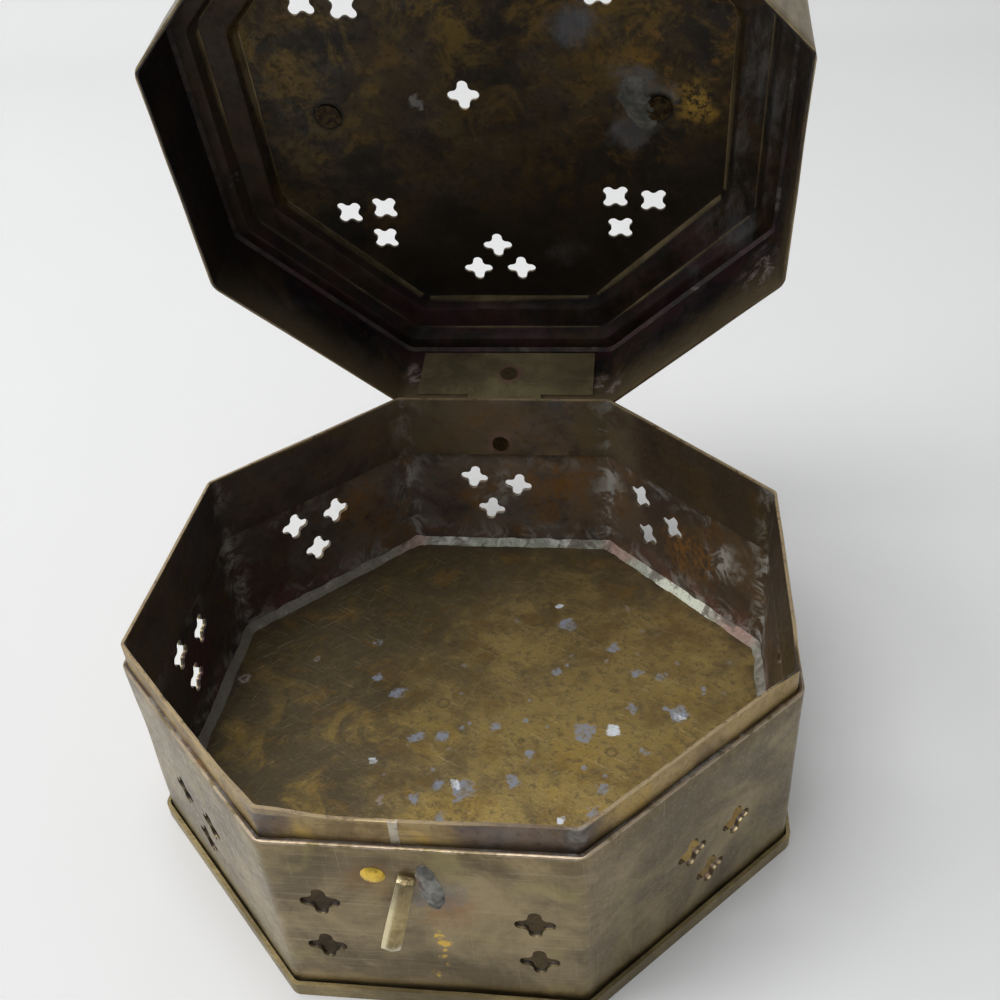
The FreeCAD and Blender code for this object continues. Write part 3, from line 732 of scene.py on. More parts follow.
def outer_patina(f, seed, streak):
    """Brushed olive brown brass with yellow green cloud, shared by the box's outer faces."""
    blotch = f.cloud(24, 6, 0.64, 0.6, seed)
    smear = f.cloud(9, 5, 0.62, 0.3, seed + 6, (0.35, 0.35, 1.0))
    out = f.toned(f.fade(blotch, 0.36, 0.64), (0.140, 0.106, 0.057), (0.325, 0.252, 0.138))
    out = f.toned(f.both(f.fade(smear, 0.48, 0.66), 0.65), out, (0.115, 0.085, 0.045))
    out = f.toned(f.both(f.fade(f.cloud(13, 4, 0.6, 0.4, seed + 10), 0.52, 0.68), 0.42), out,
                  (0.33, 0.28, 0.115))
    out = f.toned(f.both(f.fade(f.cloud(7, 6, 0.7, 0.5, seed + 14), 0.56, 0.70), 0.45), out,
                  (0.090, 0.064, 0.038))
    out = f.toned(f.both(f.fade(streak, 0.54, 0.70), 0.38), out, (0.42, 0.345, 0.215))
    brushing = f.scratches(16, 0.3, (0, math.pi / 2, 0), seed + 5)
    return f.toned(f.both(f.fade(brushing, 0.58, 0.72), 0.30), out, (0.40, 0.34, 0.21))


def on_floor(drops, share=1.0):
    """Drops at the floor's height, with a share of their radius."""
    return [(x, y, FLOOR_Z / MM, radius * share) for x, y, radius in drops]


def floor_finish():
    """Olive gold floor, finely scratched, with blue grey and white spots and faint rings."""
    f = Finish("floor patina")
    x, y, z = f.axes()
    blotch = f.cloud(30, 6, 0.62, 0.5, 1.0)
    mottle = f.cloud(8, 6, 0.68, 0.4, 5.0)
    fine = f.cloud(1.7, 5, 0.74, 0.2, 2.0)
    left = f.fade(x, 12 * MM, -52 * MM)
    back = f.fade(y, 14 * MM, 62 * MM)
    shade = f.maths("ADD", f.both(left, 0.34), f.both(back, 0.20))
    shade = f.maths("ADD", shade, f.maths("MULTIPLY", f.maths("ADD", blotch, mottle), 0.5))
    base = f.toned(f.fade(shade, 0.46, 0.76), tuple(colours().olive_brass), (0.098, 0.073, 0.036))
    base = f.toned(f.both(f.fade(mottle, 0.50, 0.66), 0.60), base, (0.235, 0.135, 0.034))
    dusky = f.both(f.fade(f.cloud(11, 6, 0.70, 0.6, 11.0), 0.50, 0.64), 0.50)
    base = f.toned(dusky, base, (0.130, 0.100, 0.052))
    gold = f.both(f.fade(f.cloud(16, 5, 0.64, 0.8, 14.0), 0.50, 0.66),
                  f.fade(y, 40 * MM, -20 * MM), 0.5)
    base = f.toned(gold, base, (0.44, 0.290, 0.065))
    base = f.toned(f.both(f.fade(fine, 0.48, 0.64), 0.65), base, (0.095, 0.072, 0.036))
    hair = f.either(f.fade(f.scratches(14, 0.16, (0, 0, 0.5), 3.0), 0.62, 0.72),
                    f.fade(f.scratches(10, 0.15, (0, 0, -0.7), 5.0), 0.63, 0.73),
                    f.fade(f.scratches(18, 0.16, (0, 0, 1.9), 7.0), 0.64, 0.74))
    base = f.toned(f.both(hair, 0.50), base, (0.56, 0.48, 0.29))
    russet = f.both(f.fade(x, 20 * MM, 58 * MM),
                    f.fade(f.cloud(14, 6, 0.66, 0.5, 13.0), 0.42, 0.58), 0.45)
    base = f.toned(russet, base, (0.200, 0.120, 0.040))
    # Darker blotches on the floor near the walls.
    edge = f.fade(rim_distance(f, 65.0), 6 * MM, 0.0)
    wall_edge_darkening = f.both(f.fade(f.cloud(9, 5, 0.6, 0.6, 9.0), 0.34, 0.60), edge)
    base = f.toned(f.both(wall_edge_darkening, 0.7), base, (0.06, 0.045, 0.028))
    # Painted shade: the floor turns nearly black towards the front wall.
    base = f.toned(f.both(f.fade(y, -40 * MM, -50 * MM), 0.92), base, (0.036, 0.024, 0.012))
    broken = f.fade(fine, 0.62, 0.44)
    zone = f.spot((22, -8, FLOOR_Z / MM), 56, 0.3, 2.0, 0.4)
    specks = f.both(f.fade(f.cells(4.2, 4.0), 0.22, 0.12), zone,
                    f.fade(f.cloud(12, 3, 0.5, 0.0, 12.0), 0.53, 0.58))
    blue = f.either(f.spatter(on_floor(BLUE_DROPS), 16.0), specks)
    blue = f.both(blue, f.valued(broken, 0.30, 0.95))
    pale = f.both(f.spatter(on_floor(PALE_DROPS), 18.0), f.valued(broken, 0.4, 1.0))
    base = f.toned(blue, base, BLUE_SPOT)
    base = f.toned(pale, base, (0.62, 0.66, 0.70))
    outer = f.spatter(on_floor(RING_DROPS), 19.0)
    inner = f.spatter(on_floor(RING_DROPS, 0.45), 19.0)
    base = f.toned(f.both(f.maths("SUBTRACT", outer, inner, True), 0.75), base, (0.42, 0.34, 0.32))
    dots = f.cells(13.0, 21.0)
    rings = f.both(f.fade(dots, 0.07, 0.09), f.fade(dots, 0.145, 0.12),
                   f.fade(f.cloud(30, 2, 0.5, 0.0, 17.0), 0.48, 0.56))
    base = f.toned(f.both(rings, 0.4), base, (0.055, 0.045, 0.030))
    outside = f.fade(rim_distance(f, WALL_FACE), 0.1 * MM, -0.3 * MM)
    streak = f.fade(f.scratches(26, 0.5, (0, 0, 0.0), 23.0), 0.45, 0.62)
    lip = f.toned(f.fade(blotch, 0.40, 0.62), (0.19, 0.15, 0.075), (0.36, 0.285, 0.135))
    lip = f.toned(f.both(streak, 0.5), lip, (0.14, 0.105, 0.055))
    # Painted highlight along the foot lip's top edge.
    rim = f.fade(z, TRAY_RIM - 0.5 * MM, TRAY_RIM - 0.1 * MM)
    lip = f.toned(f.both(rim, 0.7), lip, (0.62, 0.52, 0.33))
    base = f.toned(outside, base, lip)
    stain = f.either(blue, pale)
    rough = f.valued(f.fade(fine, 0.35, 0.7), 0.38, 0.56)
    rough = f.maths("ADD", rough, f.both(stain, 0.2))
    metal = f.valued(outside, f.maths("SUBTRACT", 0.60, f.both(stain, 0.45)), 0.85)
    normal = f.relief((fine, 0.10), (hair, 0.02), (f.cloud(34, 2, 0.5, 0.0, 30.0), 0.9))
    return f.finished(base, rough, metal, normal)


def wall_finish():
    """Brushed olive patina outside; brown, spotted oxide inside."""
    f = Finish("wall patina")
    outside = f.fade(rim_distance(f, WALL_FACE), 0.55 * MM, 0.35 * MM)
    x, y, z = f.axes()
    fine = f.cloud(1.6, 5, 0.70, 0.0, 2.0)
    streak = f.scratches(30, 0.6, (0, 0, 0.0), 4.0)
    out = outer_patina(f, 1.0, streak)
    # Painted highlight along the wall's top edge, broken up by noise.
    top_edge_highlight = f.both(f.fade(z, WALL_HIGH.z - 0.7 * MM, WALL_HIGH.z - 0.3 * MM),
                      f.fade(f.cloud(6, 5, 0.6, 0.0, 10.0), 0.38, 0.50))
    out = f.toned(f.both(top_edge_highlight, 0.6), out, (0.50, 0.40, 0.30))
    tint = f.both(f.spot((-8.4, -67.9, 37.5), 6.5, 0.6, 24.0, 0.1), 0.65)
    out = f.toned(tint, out, (0.20, 0.095, 0.030))
    tint = f.both(f.spot((3.5, -67.9, 30), 6.5, 0.6, 26.0, 0.1), 0.55)
    out = f.toned(tint, out, (0.27, 0.130, 0.045))
    smear = f.both(f.spot((2.5, -67.9, 34), 6.0, 0.6, 25.0, 0.3), 0.6)
    out = f.toned(smear, out, (0.15, 0.155, 0.165))
    rubbed_and_highlight = f.spatter(((1.6, -67.9, 23, 0.5), (1.8, -67.9, 20.5, 0.9), (2.2, -67.9, 18.5, 1.1),
                        (2.0, -67.9, 16.2, 0.9), (2.6, -67.9, 14.2, 0.9), (1.9, -67.9, 12.0, 0.7),
                        (-0.6, -67.9, 8.4, 1.1), (3.9, -67.9, 19.0, 0.4)), 27.0)
    out = f.toned(f.both(rubbed_and_highlight, 0.9), out, RUBBED_YELLOW)
    deep = inner_oxide(f, 31.0, tuple(colours().dark_patina), tuple(colours().brown_patina),
                       (0.25, 0.125, 0.030))
    # Painted shade and dark reflection: the inner faces turn nearly black towards the left.
    left = f.both(f.fade(x, -34 * MM, -62 * MM), 0.72)
    deep = f.toned(left, deep, (0.020, 0.016, 0.020))
    deep = f.toned(f.both(f.fade(x, 16 * MM, 48 * MM), 0.68), deep, (0.044, 0.026, 0.013))
    haze = f.both(f.fade(f.cloud(12, 6, 0.7, 0.4, 46.0), 0.38, 0.62), f.fade(y, 20 * MM, 50 * MM),
                  f.fade(x, 22 * MM, 2 * MM), 0.55)
    deep = f.toned(haze, deep, (0.20, 0.175, 0.155))
    ember = f.either(f.spot((49, 47, 20), 12, 0.6, 36.0, 0.1),
                     f.spot((12, 66, 24), 12, 0.6, 37.0, 0.1),
                     f.spot((-40, 56, 26), 9, 0.6, 38.0, 0.1))
    deep = f.toned(f.both(ember, f.fade(fine, 0.62, 0.40), 0.6), deep, (0.27, 0.125, 0.024))
    plum = f.both(f.fade(f.cloud(18, 5, 0.6, 0.5, 39.0), 0.52, 0.66),
                  f.fade(x, 0.0, -40 * MM), 0.7)
    deep = f.toned(plum, deep, PLUM)
    low = f.fade(z, 14 * MM, 5 * MM)
    high = f.fade(z, (WALL_HIGH.z - COLLAR_DEPTH) - 8 * MM, (WALL_HIGH.z - COLLAR_DEPTH))
    bloom = f.fade(f.cloud(6, 6, 0.72, 0.7, 19.0), 0.46, 0.62)
    pale = f.both(bloom, f.either(f.both(low, 0.8), f.both(high, 0.45), corner_nearness(f, 11)))
    pale = f.either(pale, f.both(bloom, f.spot((58, 40, 22), 10, 0.5, 40.0, 0.2)),
                    f.both(bloom, f.spot((-3, 66, 22), 8, 0.5, 42.0, 0.2), 0.8))
    deep = f.toned(f.both(pale, 0.80), deep, (0.40, 0.40, 0.38))
    pink = f.both(low, f.fade(f.cloud(20, 4, 0.6, 0.0, 43.0), 0.50, 0.60), 0.5)
    deep = f.toned(pink, deep, (0.22, 0.085, 0.075))
    # Darker towards the front wall's inner face.
    front_darkening = f.both(f.fade(y, -50 * MM, -62 * MM), 0.7)
    deep = f.toned(front_darkening, deep, (0.030, 0.020, 0.012))
    base = f.toned(outside, deep, out)
    rough = f.valued(outside, f.uneven(fine, 0.36, 0.58), f.uneven(fine, 0.28, 0.44))
    metal = f.valued(outside, f.maths("SUBTRACT", 0.42, f.both(pale, 0.3)), 0.88)
    normal = f.relief((fine, 0.05), (streak, 0.03), (f.cloud(22, 2, 0.5, 0.0, 33.0), 0.55))
    return f.finished(base, rough, metal, normal)


def skirt_finish():
    """Lid skirt: brushed outside; near black inside, plum by the seam and olive at its edge."""
    f = Finish("skirt patina", on_lid=True)
    outside = f.fade(rim_distance(f, SKIRT_EDGE), 0.45 * MM, 0.25 * MM)
    x, y, z = f.axes()
    fine = f.cloud(1.6, 5, 0.70, 0.0, 132.0)
    streak = f.scratches(30, 0.6, (0, 0, 0.0), 134.0)
    out = outer_patina(f, 131.0, streak)
    deep = inner_oxide(f, 141.0, (0.016, 0.013, 0.013), (0.050, 0.036, 0.022),
                       (0.09, 0.052, 0.018), 0.25)
    edge = f.both(f.fade(z, LID_EDGE + 13 * MM, LID_EDGE + 1 * MM), f.fade(y, -10 * MM, 25 * MM))
    deep = f.toned(f.both(edge, f.valued(fine, 1.0, 0.5)), deep, (0.155, 0.115, 0.060))
    seam = f.fade(z, LID_EDGE + 11 * MM, LID_EDGE + 19 * MM)
    plum = f.both(seam, f.fade(f.cloud(15, 5, 0.62, 0.5, 150.0), 0.42, 0.60), 0.60)
    deep = f.toned(plum, deep, PLUM)
    side = f.both(f.fade(x, -20 * MM, -56 * MM), f.fade(y, 45 * MM, 20 * MM), 0.75)
    deep = f.toned(side, deep, (0.008, 0.006, 0.008))
    bloom = f.fade(f.cloud(4.5, 6, 0.72, 0.8, 152.0), 0.46, 0.62)
    flux = f.both(bloom, f.either(f.spot((-23, 67, 55), 6.5, 0.5, 154.0, 0.3),
                                  f.spot((26, 67, 53), 6.0, 0.5, 156.0, 0.2),
                                  f.spot((62, 30, 56), 9.0, 0.5, 158.0, 0.2)))
    deep = f.toned(f.both(flux, 0.8), deep, (0.36, 0.27, 0.26))
    base = f.toned(outside, deep, out)
    rough = f.valued(outside, f.uneven(fine, 0.34, 0.55), f.uneven(fine, 0.28, 0.44))
    metal = f.valued(outside, f.maths("SUBTRACT", 0.55, f.both(flux, 0.4)), 0.88)
    normal = f.relief((fine, 0.05), (streak, 0.03), (f.cloud(22, 2, 0.5, 0.0, 133.0), 0.5))
    return f.finished(base, rough, metal, normal)


def collar_finish():
    """Collar band: yellow brown outside, dark inside, worn bare on its edge, where a highlight is
    painted.
    """
    f = Finish("collar patina")
    outside = f.fade(rim_distance(f, 66.4), 0.40 * MM, 0.25 * MM)
    x, y, z = f.axes()
    blotch = f.cloud(15, 6, 0.62, 0.5, 51.0)
    fine = f.cloud(1.8, 6, 0.72, 0.0, 52.0)
    streak = f.scratches(26, 0.45, (0, 0, 0.0), 54.0)
    out = f.toned(f.fade(blotch, 0.36, 0.62), (0.20, 0.135, 0.060), (0.42, 0.30, 0.125))
    out = f.toned(f.both(f.fade(f.cloud(11, 5, 0.6, 0.6, 56.0), 0.52, 0.66), 0.6), out,
                  (0.50, 0.325, 0.070))
    out = f.toned(f.both(f.fade(streak, 0.52, 0.68), 0.6), out, (0.16, 0.110, 0.055))
    out = f.toned(f.both(f.fade(fine, 0.54, 0.70), 0.45), out, (0.09, 0.066, 0.036))
    deep = inner_oxide(f, 61.0, tuple(colours().dark_patina), tuple(colours().brown_patina),
                       (0.21, 0.120, 0.040))
    # Painted shade and dark reflection: the inner face darker towards the left.
    deep = f.toned(f.both(f.fade(x, 0.0, -58 * MM), 0.6), deep, (0.030, 0.024, 0.027))
    deep = f.toned(f.both(f.fade(x, 16 * MM, 40 * MM), 0.80), deep, (0.032, 0.021, 0.010))
    olive = f.both(f.fade(y, 52 * MM, 62 * MM), f.fade(blotch, 0.62, 0.40), 0.7)
    deep = f.toned(olive, deep, (0.150, 0.120, 0.068))
    bloom = f.both(f.fade(f.cloud(6, 6, 0.72, 0.7, 66.0), 0.48, 0.64), corner_nearness(f, 10))
    deep = f.toned(f.both(bloom, 0.55), deep, (0.33, 0.33, 0.31))
    deep = f.toned(f.both(f.fade(streak, 0.58, 0.72), 0.35), deep, (0.22, 0.17, 0.10))
    rivet = middle("body_hinge_rivet")
    halo = f.both(f.spot((rivet[0], 66.2, rivet[2]), 4.6, 0.35, 67.0, 0.6), 0.65)
    deep = f.toned(halo, deep, (0.25, 0.150, 0.120))
    base = f.toned(outside, deep, out)
    # Painted highlight along the collar's top edge, on partly worn brass.
    edge = f.both(f.fade(z, COLLAR_HIGH.z - 0.6 * MM, COLLAR_HIGH.z - 0.1 * MM),
                  f.fade(fine, 0.3, 0.5))
    base = f.toned(f.both(edge, 0.8), base, (0.36, 0.27, 0.15))
    rough = f.uneven(fine, 0.32, 0.54)
    normal = f.relief((fine, 0.07), (streak, 0.03), (f.cloud(18, 2, 0.5, 0.0, 63.0), 0.5))
    return f.finished(base, rough, f.valued(outside, 0.45, 0.70), normal)


def lid_finish():
    """Lid top: near black inside with olive gold cloud, olive brushed outside."""
    f = Finish("lid patina", on_lid=True)
    x, y = f.axes()[:2]
    under = PANEL / MM
    blotch = f.cloud(30, 7, 0.68, 0.7, 71.0)
    fine = f.cloud(1.8, 6, 0.72, 0.0, 72.0)
    deep = inner_oxide(f, 73.0, (0.016, 0.012, 0.008), (0.054, 0.036, 0.015),
                       (0.115, 0.066, 0.014), 0.14)
    front = f.fade(y, 30 * MM, -45 * MM)
    gold = f.both(f.fade(f.cloud(12, 7, 0.72, 0.6, 75.0), 0.46, 0.60), f.fade(blotch, 0.36, 0.56),
                  f.valued(front, 0.15, 1.0))
    deep = f.toned(f.both(gold, 0.78), deep, (0.215, 0.132, 0.024))
    amber = f.both(f.fade(f.cloud(7, 6, 0.7, 0.6, 77.0), 0.52, 0.66), f.fade(x, -10 * MM, 45 * MM))
    deep = f.toned(f.both(amber, 0.6), deep, (0.27, 0.140, 0.022))
    slant = f.maths("ADD", y, f.maths("MULTIPLY", x, 0.35))
    dim = f.both(f.fade(slant, -2 * MM, 44 * MM), 0.88)
    deep = f.toned(dim, deep, (0.011, 0.008, 0.006))
    deep = f.toned(f.both(f.fade(fine, 0.50, 0.66), 0.6), deep, (0.013, 0.009, 0.006))
    step = f.fade(rim_distance(f, 54.5), 0.0, -2 * MM)
    deep = f.toned(f.both(step, 0.8), deep, (0.017, 0.012, 0.009))
    brown = f.both(step, f.fade(f.cloud(12, 5, 0.66, 0.5, 81.0), 0.44, 0.60), 0.7)
    deep = f.toned(brown, deep, (0.055, 0.030, 0.014))
    bloom = f.fade(f.cloud(7, 6, 0.74, 0.2, 79.0, (1, 0.35, 1)), 0.44, 0.66)
    right = f.fade(x, 44 * MM, 54 * MM)
    deep = f.toned(f.both(step, bloom, f.valued(right, 0.10, 0.62)), deep, (0.140, 0.140, 0.142))
    plum = f.both(step, f.fade(f.cloud(16, 4, 0.6, 0.4, 83.0), 0.46, 0.60),
                  f.fade(y, 5 * MM, 40 * MM), 0.40)
    deep = f.toned(plum, deep, PLUM)
    grey = f.either(f.spot((32, 6, under), 7.5, 0.55, 86.0, 0.35),
                    f.spot((33, -7, under), 6.5, 0.5, 87.0, 0.35),
                    f.spot((38, -1, under), 6.5, 0.3, 89.0, 0.6))
    deep = f.toned(f.both(grey, f.valued(bloom, 0.45, 0.9)), deep, (0.155, 0.160, 0.175))
    rubbed_and_highlight = f.both(f.spot((46, -1, under), 7.0, 0.6, 88.0, 0.1), f.fade(fine, 0.58, 0.44))
    deep = f.toned(f.both(rubbed_and_highlight, 0.85), deep, (0.46, 0.29, 0.05))
    patch = f.both(f.spot((20, -21, under), 6.5, 0.5, 90.0, 0.3), f.valued(bloom, 0.5, 0.95))
    deep = f.toned(patch, deep, (0.145, 0.155, 0.180))
    patch = f.both(f.spot((17, 40, under), 6.5, 0.6, 91.0, 0.1), f.valued(bloom, 0.2, 0.8))
    deep = f.toned(patch, deep, (0.100, 0.102, 0.112))
    dots = f.spatter(((-17, -3, under, 1.6), (-61, 12, under - 8, 2.2), (-54, 20, under - 4, 1.4)),
                     92.0)
    deep = f.toned(f.both(dots, 0.7), deep, (0.24, 0.235, 0.22))
    # Painted shade in the gaps round the handle posts' shanks.
    for side in (-1, 1):
        shank_gap_shade = f.spot((side * POST_SIDE, 0, under), 4.4, 0.1, 94.0 + side, 0.75)
        deep = f.toned(f.both(shank_gap_shade, 0.9), deep, (0.008, 0.006, 0.005))
    top_side = outward_side(f)
    streak = f.scratches(30, 0.5, (0, 0, 0.3), 93.0)
    out = outer_patina(f, 96.0, streak)
    hair = f.either(f.fade(f.scratches(20, 0.2, (0, 0, 0.3), 93.0), 0.62, 0.72),
                    f.fade(f.scratches(14, 0.2, (0, 0, -1.0), 95.0), 0.63, 0.73))
    out = f.toned(f.both(hair, 0.5), out, (0.48, 0.38, 0.19))
    base = f.toned(top_side, deep, out)
    rough = f.uneven(fine, 0.34, 0.56)
    normal = f.relief((fine, 0.07), (hair, 0.02), (f.cloud(26, 2, 0.5, 0.0, 99.0), 0.8))
    return f.finished(base, rough, f.valued(top_side, 0.55, 0.88), normal)


def plain_metal(name, light, dark, rough, on_lid=False, grain=1.6, wear=(0.55, 0.42, 0.2)):
    """Dull brass of the small fittings, rubbed lighter in places."""
    f = Finish(name, on_lid)
    blotch = f.cloud(5 * grain, 5, 0.62, 0.4, 101.0)
    fine = f.cloud(grain, 5, 0.7, 0.0, 103.0)
    base = f.toned(f.fade(blotch, 0.36, 0.64), dark, light)
    base = f.toned(f.both(f.fade(fine, 0.54, 0.70), 0.6), base, tuple(c * 0.4 for c in dark))
    hair = f.fade(f.scratches(9, 0.16, (0.3, 0.9, 0.4), 105.0), 0.58, 0.70)
    base = f.toned(f.both(hair, 0.5), base, wear)
    uneven = f.uneven(fine, rough - 0.08, rough + 0.12)
    normal = f.relief((fine, 0.05), (hair, 0.015))
    return f.finished(base, uneven, 0.93, normal)


def solder_finish(name, on_lid=False, green=0.4, tone=1.0):
    """Dull grey solder with a whitish bloom, greenish and copper stained here and there."""
    f = Finish(name, on_lid)
    lump = f.cloud(4.5, 5, 0.65, 0.3, 111.0)
    fine = f.cloud(0.9, 5, 0.7, 0.0, 113.0)
    solder = tuple(c * tone for c in colours().solder_grey)
    base = f.toned(f.fade(lump, 0.38, 0.60), tuple(c * 0.35 for c in solder), solder)
    base = f.toned(f.both(f.fade(f.cloud(9, 4, 0.6, 0.0, 115.0), 0.48, 0.60), green), base,
                   tuple(c * tone for c in VERDIGRIS))
    base = f.toned(f.both(f.fade(f.cloud(14, 3, 0.6, 0.0, 117.0), 0.54, 0.62), 0.5), base,
                   tuple(c * tone for c in COPPER_PINK))
    base = f.toned(f.both(f.fade(fine, 0.54, 0.66), 0.5), base, (0.05, 0.045, 0.04))
    rough = f.uneven(fine, 0.42, 0.75)
    normal = f.relief((lump, 0.35), (fine, 0.10))
    return f.finished(base, rough, 0.35, normal)


def floor_line_finish():
    """Floor joint's solder: white and green at the back and right, pink by the corners."""
    f = Finish("floor solder")
    x, y = f.axes()[:2]
    lump = f.cloud(3.6, 6, 0.7, 0.5, 111.0)
    fine = f.cloud(0.8, 5, 0.72, 0.0, 113.0)
    base = f.toned(f.fade(lump, 0.38, 0.60), (0.20, 0.19, 0.160), (0.57, 0.555, 0.49))
    foot = f.fade(rim_distance(f, SOLDER_OUTER), 1.0 * MM, 1.9 * MM)
    green = f.either(f.both(foot, 0.8),
                     f.both(f.fade(f.cloud(8, 4, 0.6, 0.0, 115.0), 0.46, 0.58), 0.6))
    base = f.toned(green, base, (0.26, 0.29, 0.215))
    blob = f.either(f.spot((44, 49, 5), 10, 0.4, 128.0, 0.5),
                    f.spot((50, 43, 5), 9, 0.4, 129.0, 0.5))
    base = f.toned(f.both(blob, f.fade(lump, 0.34, 0.50)), base, (0.66, 0.68, 0.56))
    pink = f.either(f.spot((-29, 65, 5), 9, 0.4, 125.0, 0.4),
                    f.spot((31, 63, 5), 8, 0.4, 127.0, 0.4),
                    f.spot((60, 33, 5), 11, 0.4, 130.0, 0.4))
    base = f.toned(f.both(pink, 0.6), base, (0.36, 0.165, 0.135))
    # Darker solder: painted shade on the left and towards the front, dirt on the right and in
    # blotches.
    left = f.fade(x, -22 * MM, -40 * MM)
    right = f.both(f.fade(x, 55 * MM, 62 * MM), f.fade(y, 34 * MM, 20 * MM))
    dirt_and_shade = f.either(f.both(left, f.fade(lump, 0.80, 0.58), 0.9), f.both(right, 0.6),
                    f.both(f.fade(y, -30 * MM, -50 * MM), 0.9),
                    f.both(f.fade(f.cloud(7, 6, 0.68, 0.5, 119.0), 0.50, 0.60), 0.85))
    base = f.toned(dirt_and_shade, base, (0.120, 0.098, 0.074))
    base = f.toned(f.both(f.fade(fine, 0.54, 0.66), 0.45), base, (0.09, 0.08, 0.065))
    rough = f.uneven(fine, 0.45, 0.78)
    normal = f.relief((lump, 0.40), (fine, 0.12))
    return f.finished(base, rough, 0.15, normal)


def lid_line_finish():
    """Lid seam's solder under dark oxide, plum near the hinge, bare grey in a few places."""
    f = Finish("lid solder", on_lid=True)
    x, y = f.axes()[:2]
    lump = f.cloud(5.0, 6, 0.68, 0.4, 161.0)
    base = f.toned(f.fade(lump, 0.40, 0.60), (0.016, 0.012, 0.011), (0.055, 0.040, 0.030))
    plum = f.both(f.fade(f.cloud(18, 4, 0.6, 0.3, 163.0), 0.46, 0.60),
                  f.fade(y, 0.0, 40 * MM), 0.5)
    base = f.toned(plum, base, PLUM)
    bare = f.both(f.fade(f.cloud(9, 6, 0.7, 0.5, 165.0), 0.54, 0.64), f.fade(x, -30 * MM, 50 * MM))
    base = f.toned(f.both(bare, 0.6), base, (0.22, 0.215, 0.21))
    return f.finished(base, f.valued(lump, 0.40, 0.66), 0.4, f.relief((lump, 0.3)))


def leaf_finish():
    """Plain olive hinge leaf, filed smooth, with a pink halo round its rivet."""
    f = Finish("hinge leaf brass")
    blotch = f.cloud(9, 5, 0.62, 0.4, 171.0)
    fine = f.cloud(1.2, 5, 0.7, 0.0, 173.0)
    base = f.toned(f.fade(blotch, 0.36, 0.64), (0.20, 0.165, 0.090), (0.31, 0.255, 0.135))
    base = f.toned(f.both(f.fade(fine, 0.54, 0.70), 0.4), base, (0.10, 0.08, 0.045))
    hair = f.fade(f.scratches(14, 0.2, (0, 0.1, 0), 175.0), 0.58, 0.72)
    base = f.toned(f.both(hair, 0.45), base, (0.46, 0.38, 0.22))
    halo = f.spot(middle("lid_hinge_rivet"), 4.2, 0.25, 177.0, 0.7)
    base = f.toned(f.both(halo, 0.65), base, (0.30, 0.150, 0.110))
    normal = f.relief((fine, 0.04))
    return f.finished(base, f.uneven(fine, 0.34, 0.52), 0.75, normal)


def catch_finish():
    """Rubbed yellow brass with a painted highlight along its left edge, and a pale arc at its tip.
    """
    f = Finish("catch brass")
    x, z = f.axes()[::2]
    blotch = f.cloud(4, 5, 0.64, 0.4, 181.0)
    grain = f.scratches(9, 0.55, (0, math.pi / 2 - 0.24, 0), 183.0)
    base = f.toned(f.fade(blotch, 0.36, 0.62), (0.24, 0.185, 0.085), (0.44, 0.345, 0.17))
    base = f.toned(f.both(f.fade(grain, 0.50, 0.72), 0.4), base, (0.62, 0.51, 0.28))
    # Painted highlight along the strip's left edge.
    lean = f.maths("ADD", x, f.maths("MULTIPLY", z, -math.tan(CATCH_TILT)))
    start = (CATCH_X - CATCH_ROOT * math.tan(CATCH_TILT)) * MM
    rubbed_and_highlight = f.fade(lean, start - 0.5 * MM, start - 1.3 * MM)
    base = f.toned(f.both(rubbed_and_highlight, 0.85), base, (0.88, 0.78, 0.50))
    high = f.fade(z, 33 * MM, 37 * MM)
    base = f.toned(f.both(high, 0.55), base, (0.16, 0.125, 0.07))
    tip = f.both(f.fade(z, 27.2 * MM, 26.0 * MM), f.fade(blotch, 0.3, 0.5))
    base = f.toned(f.both(tip, 0.85), base, (0.66, 0.60, 0.46))
    rough = f.uneven(grain, 0.24, 0.42)
    normal = f.relief((grain, 0.04), (blotch, 0.25))
    return f.finished(base, rough, 0.9, normal)


def post_finish():
    """Cast brass outside the lid, dark oxide on the shank's end inside it."""
    f = Finish("cast post brass", on_lid=True)
    z = f.axes()[2]
    outside = f.fade(z, PANEL - 0.1 * MM, PANEL + 0.3 * MM)
    blotch = f.cloud(6, 5, 0.62, 0.4, 121.0)
    fine = f.cloud(1.4, 5, 0.7, 0.0, 123.0)
    out = f.toned(f.fade(blotch, 0.36, 0.64), (0.16, 0.11, 0.05), (0.36, 0.26, 0.105))
    out = f.toned(f.both(f.fade(fine, 0.54, 0.7), 0.6), out, (0.06, 0.045, 0.025))
    deep = f.toned(f.fade(fine, 0.40, 0.62), (0.020, 0.014, 0.010), (0.075, 0.05, 0.022))
    base = f.toned(outside, deep, out)
    rough = f.uneven(fine, 0.32, 0.55)
    return f.finished(base, rough, 0.9, f.relief((fine, 0.06)))


def paint(node, material):
    """Gives a finish to a piece that keeps its plain solid."""
    piece = NODES[node]
    piece.data.materials.clear()
    piece.data.materials.append(material)


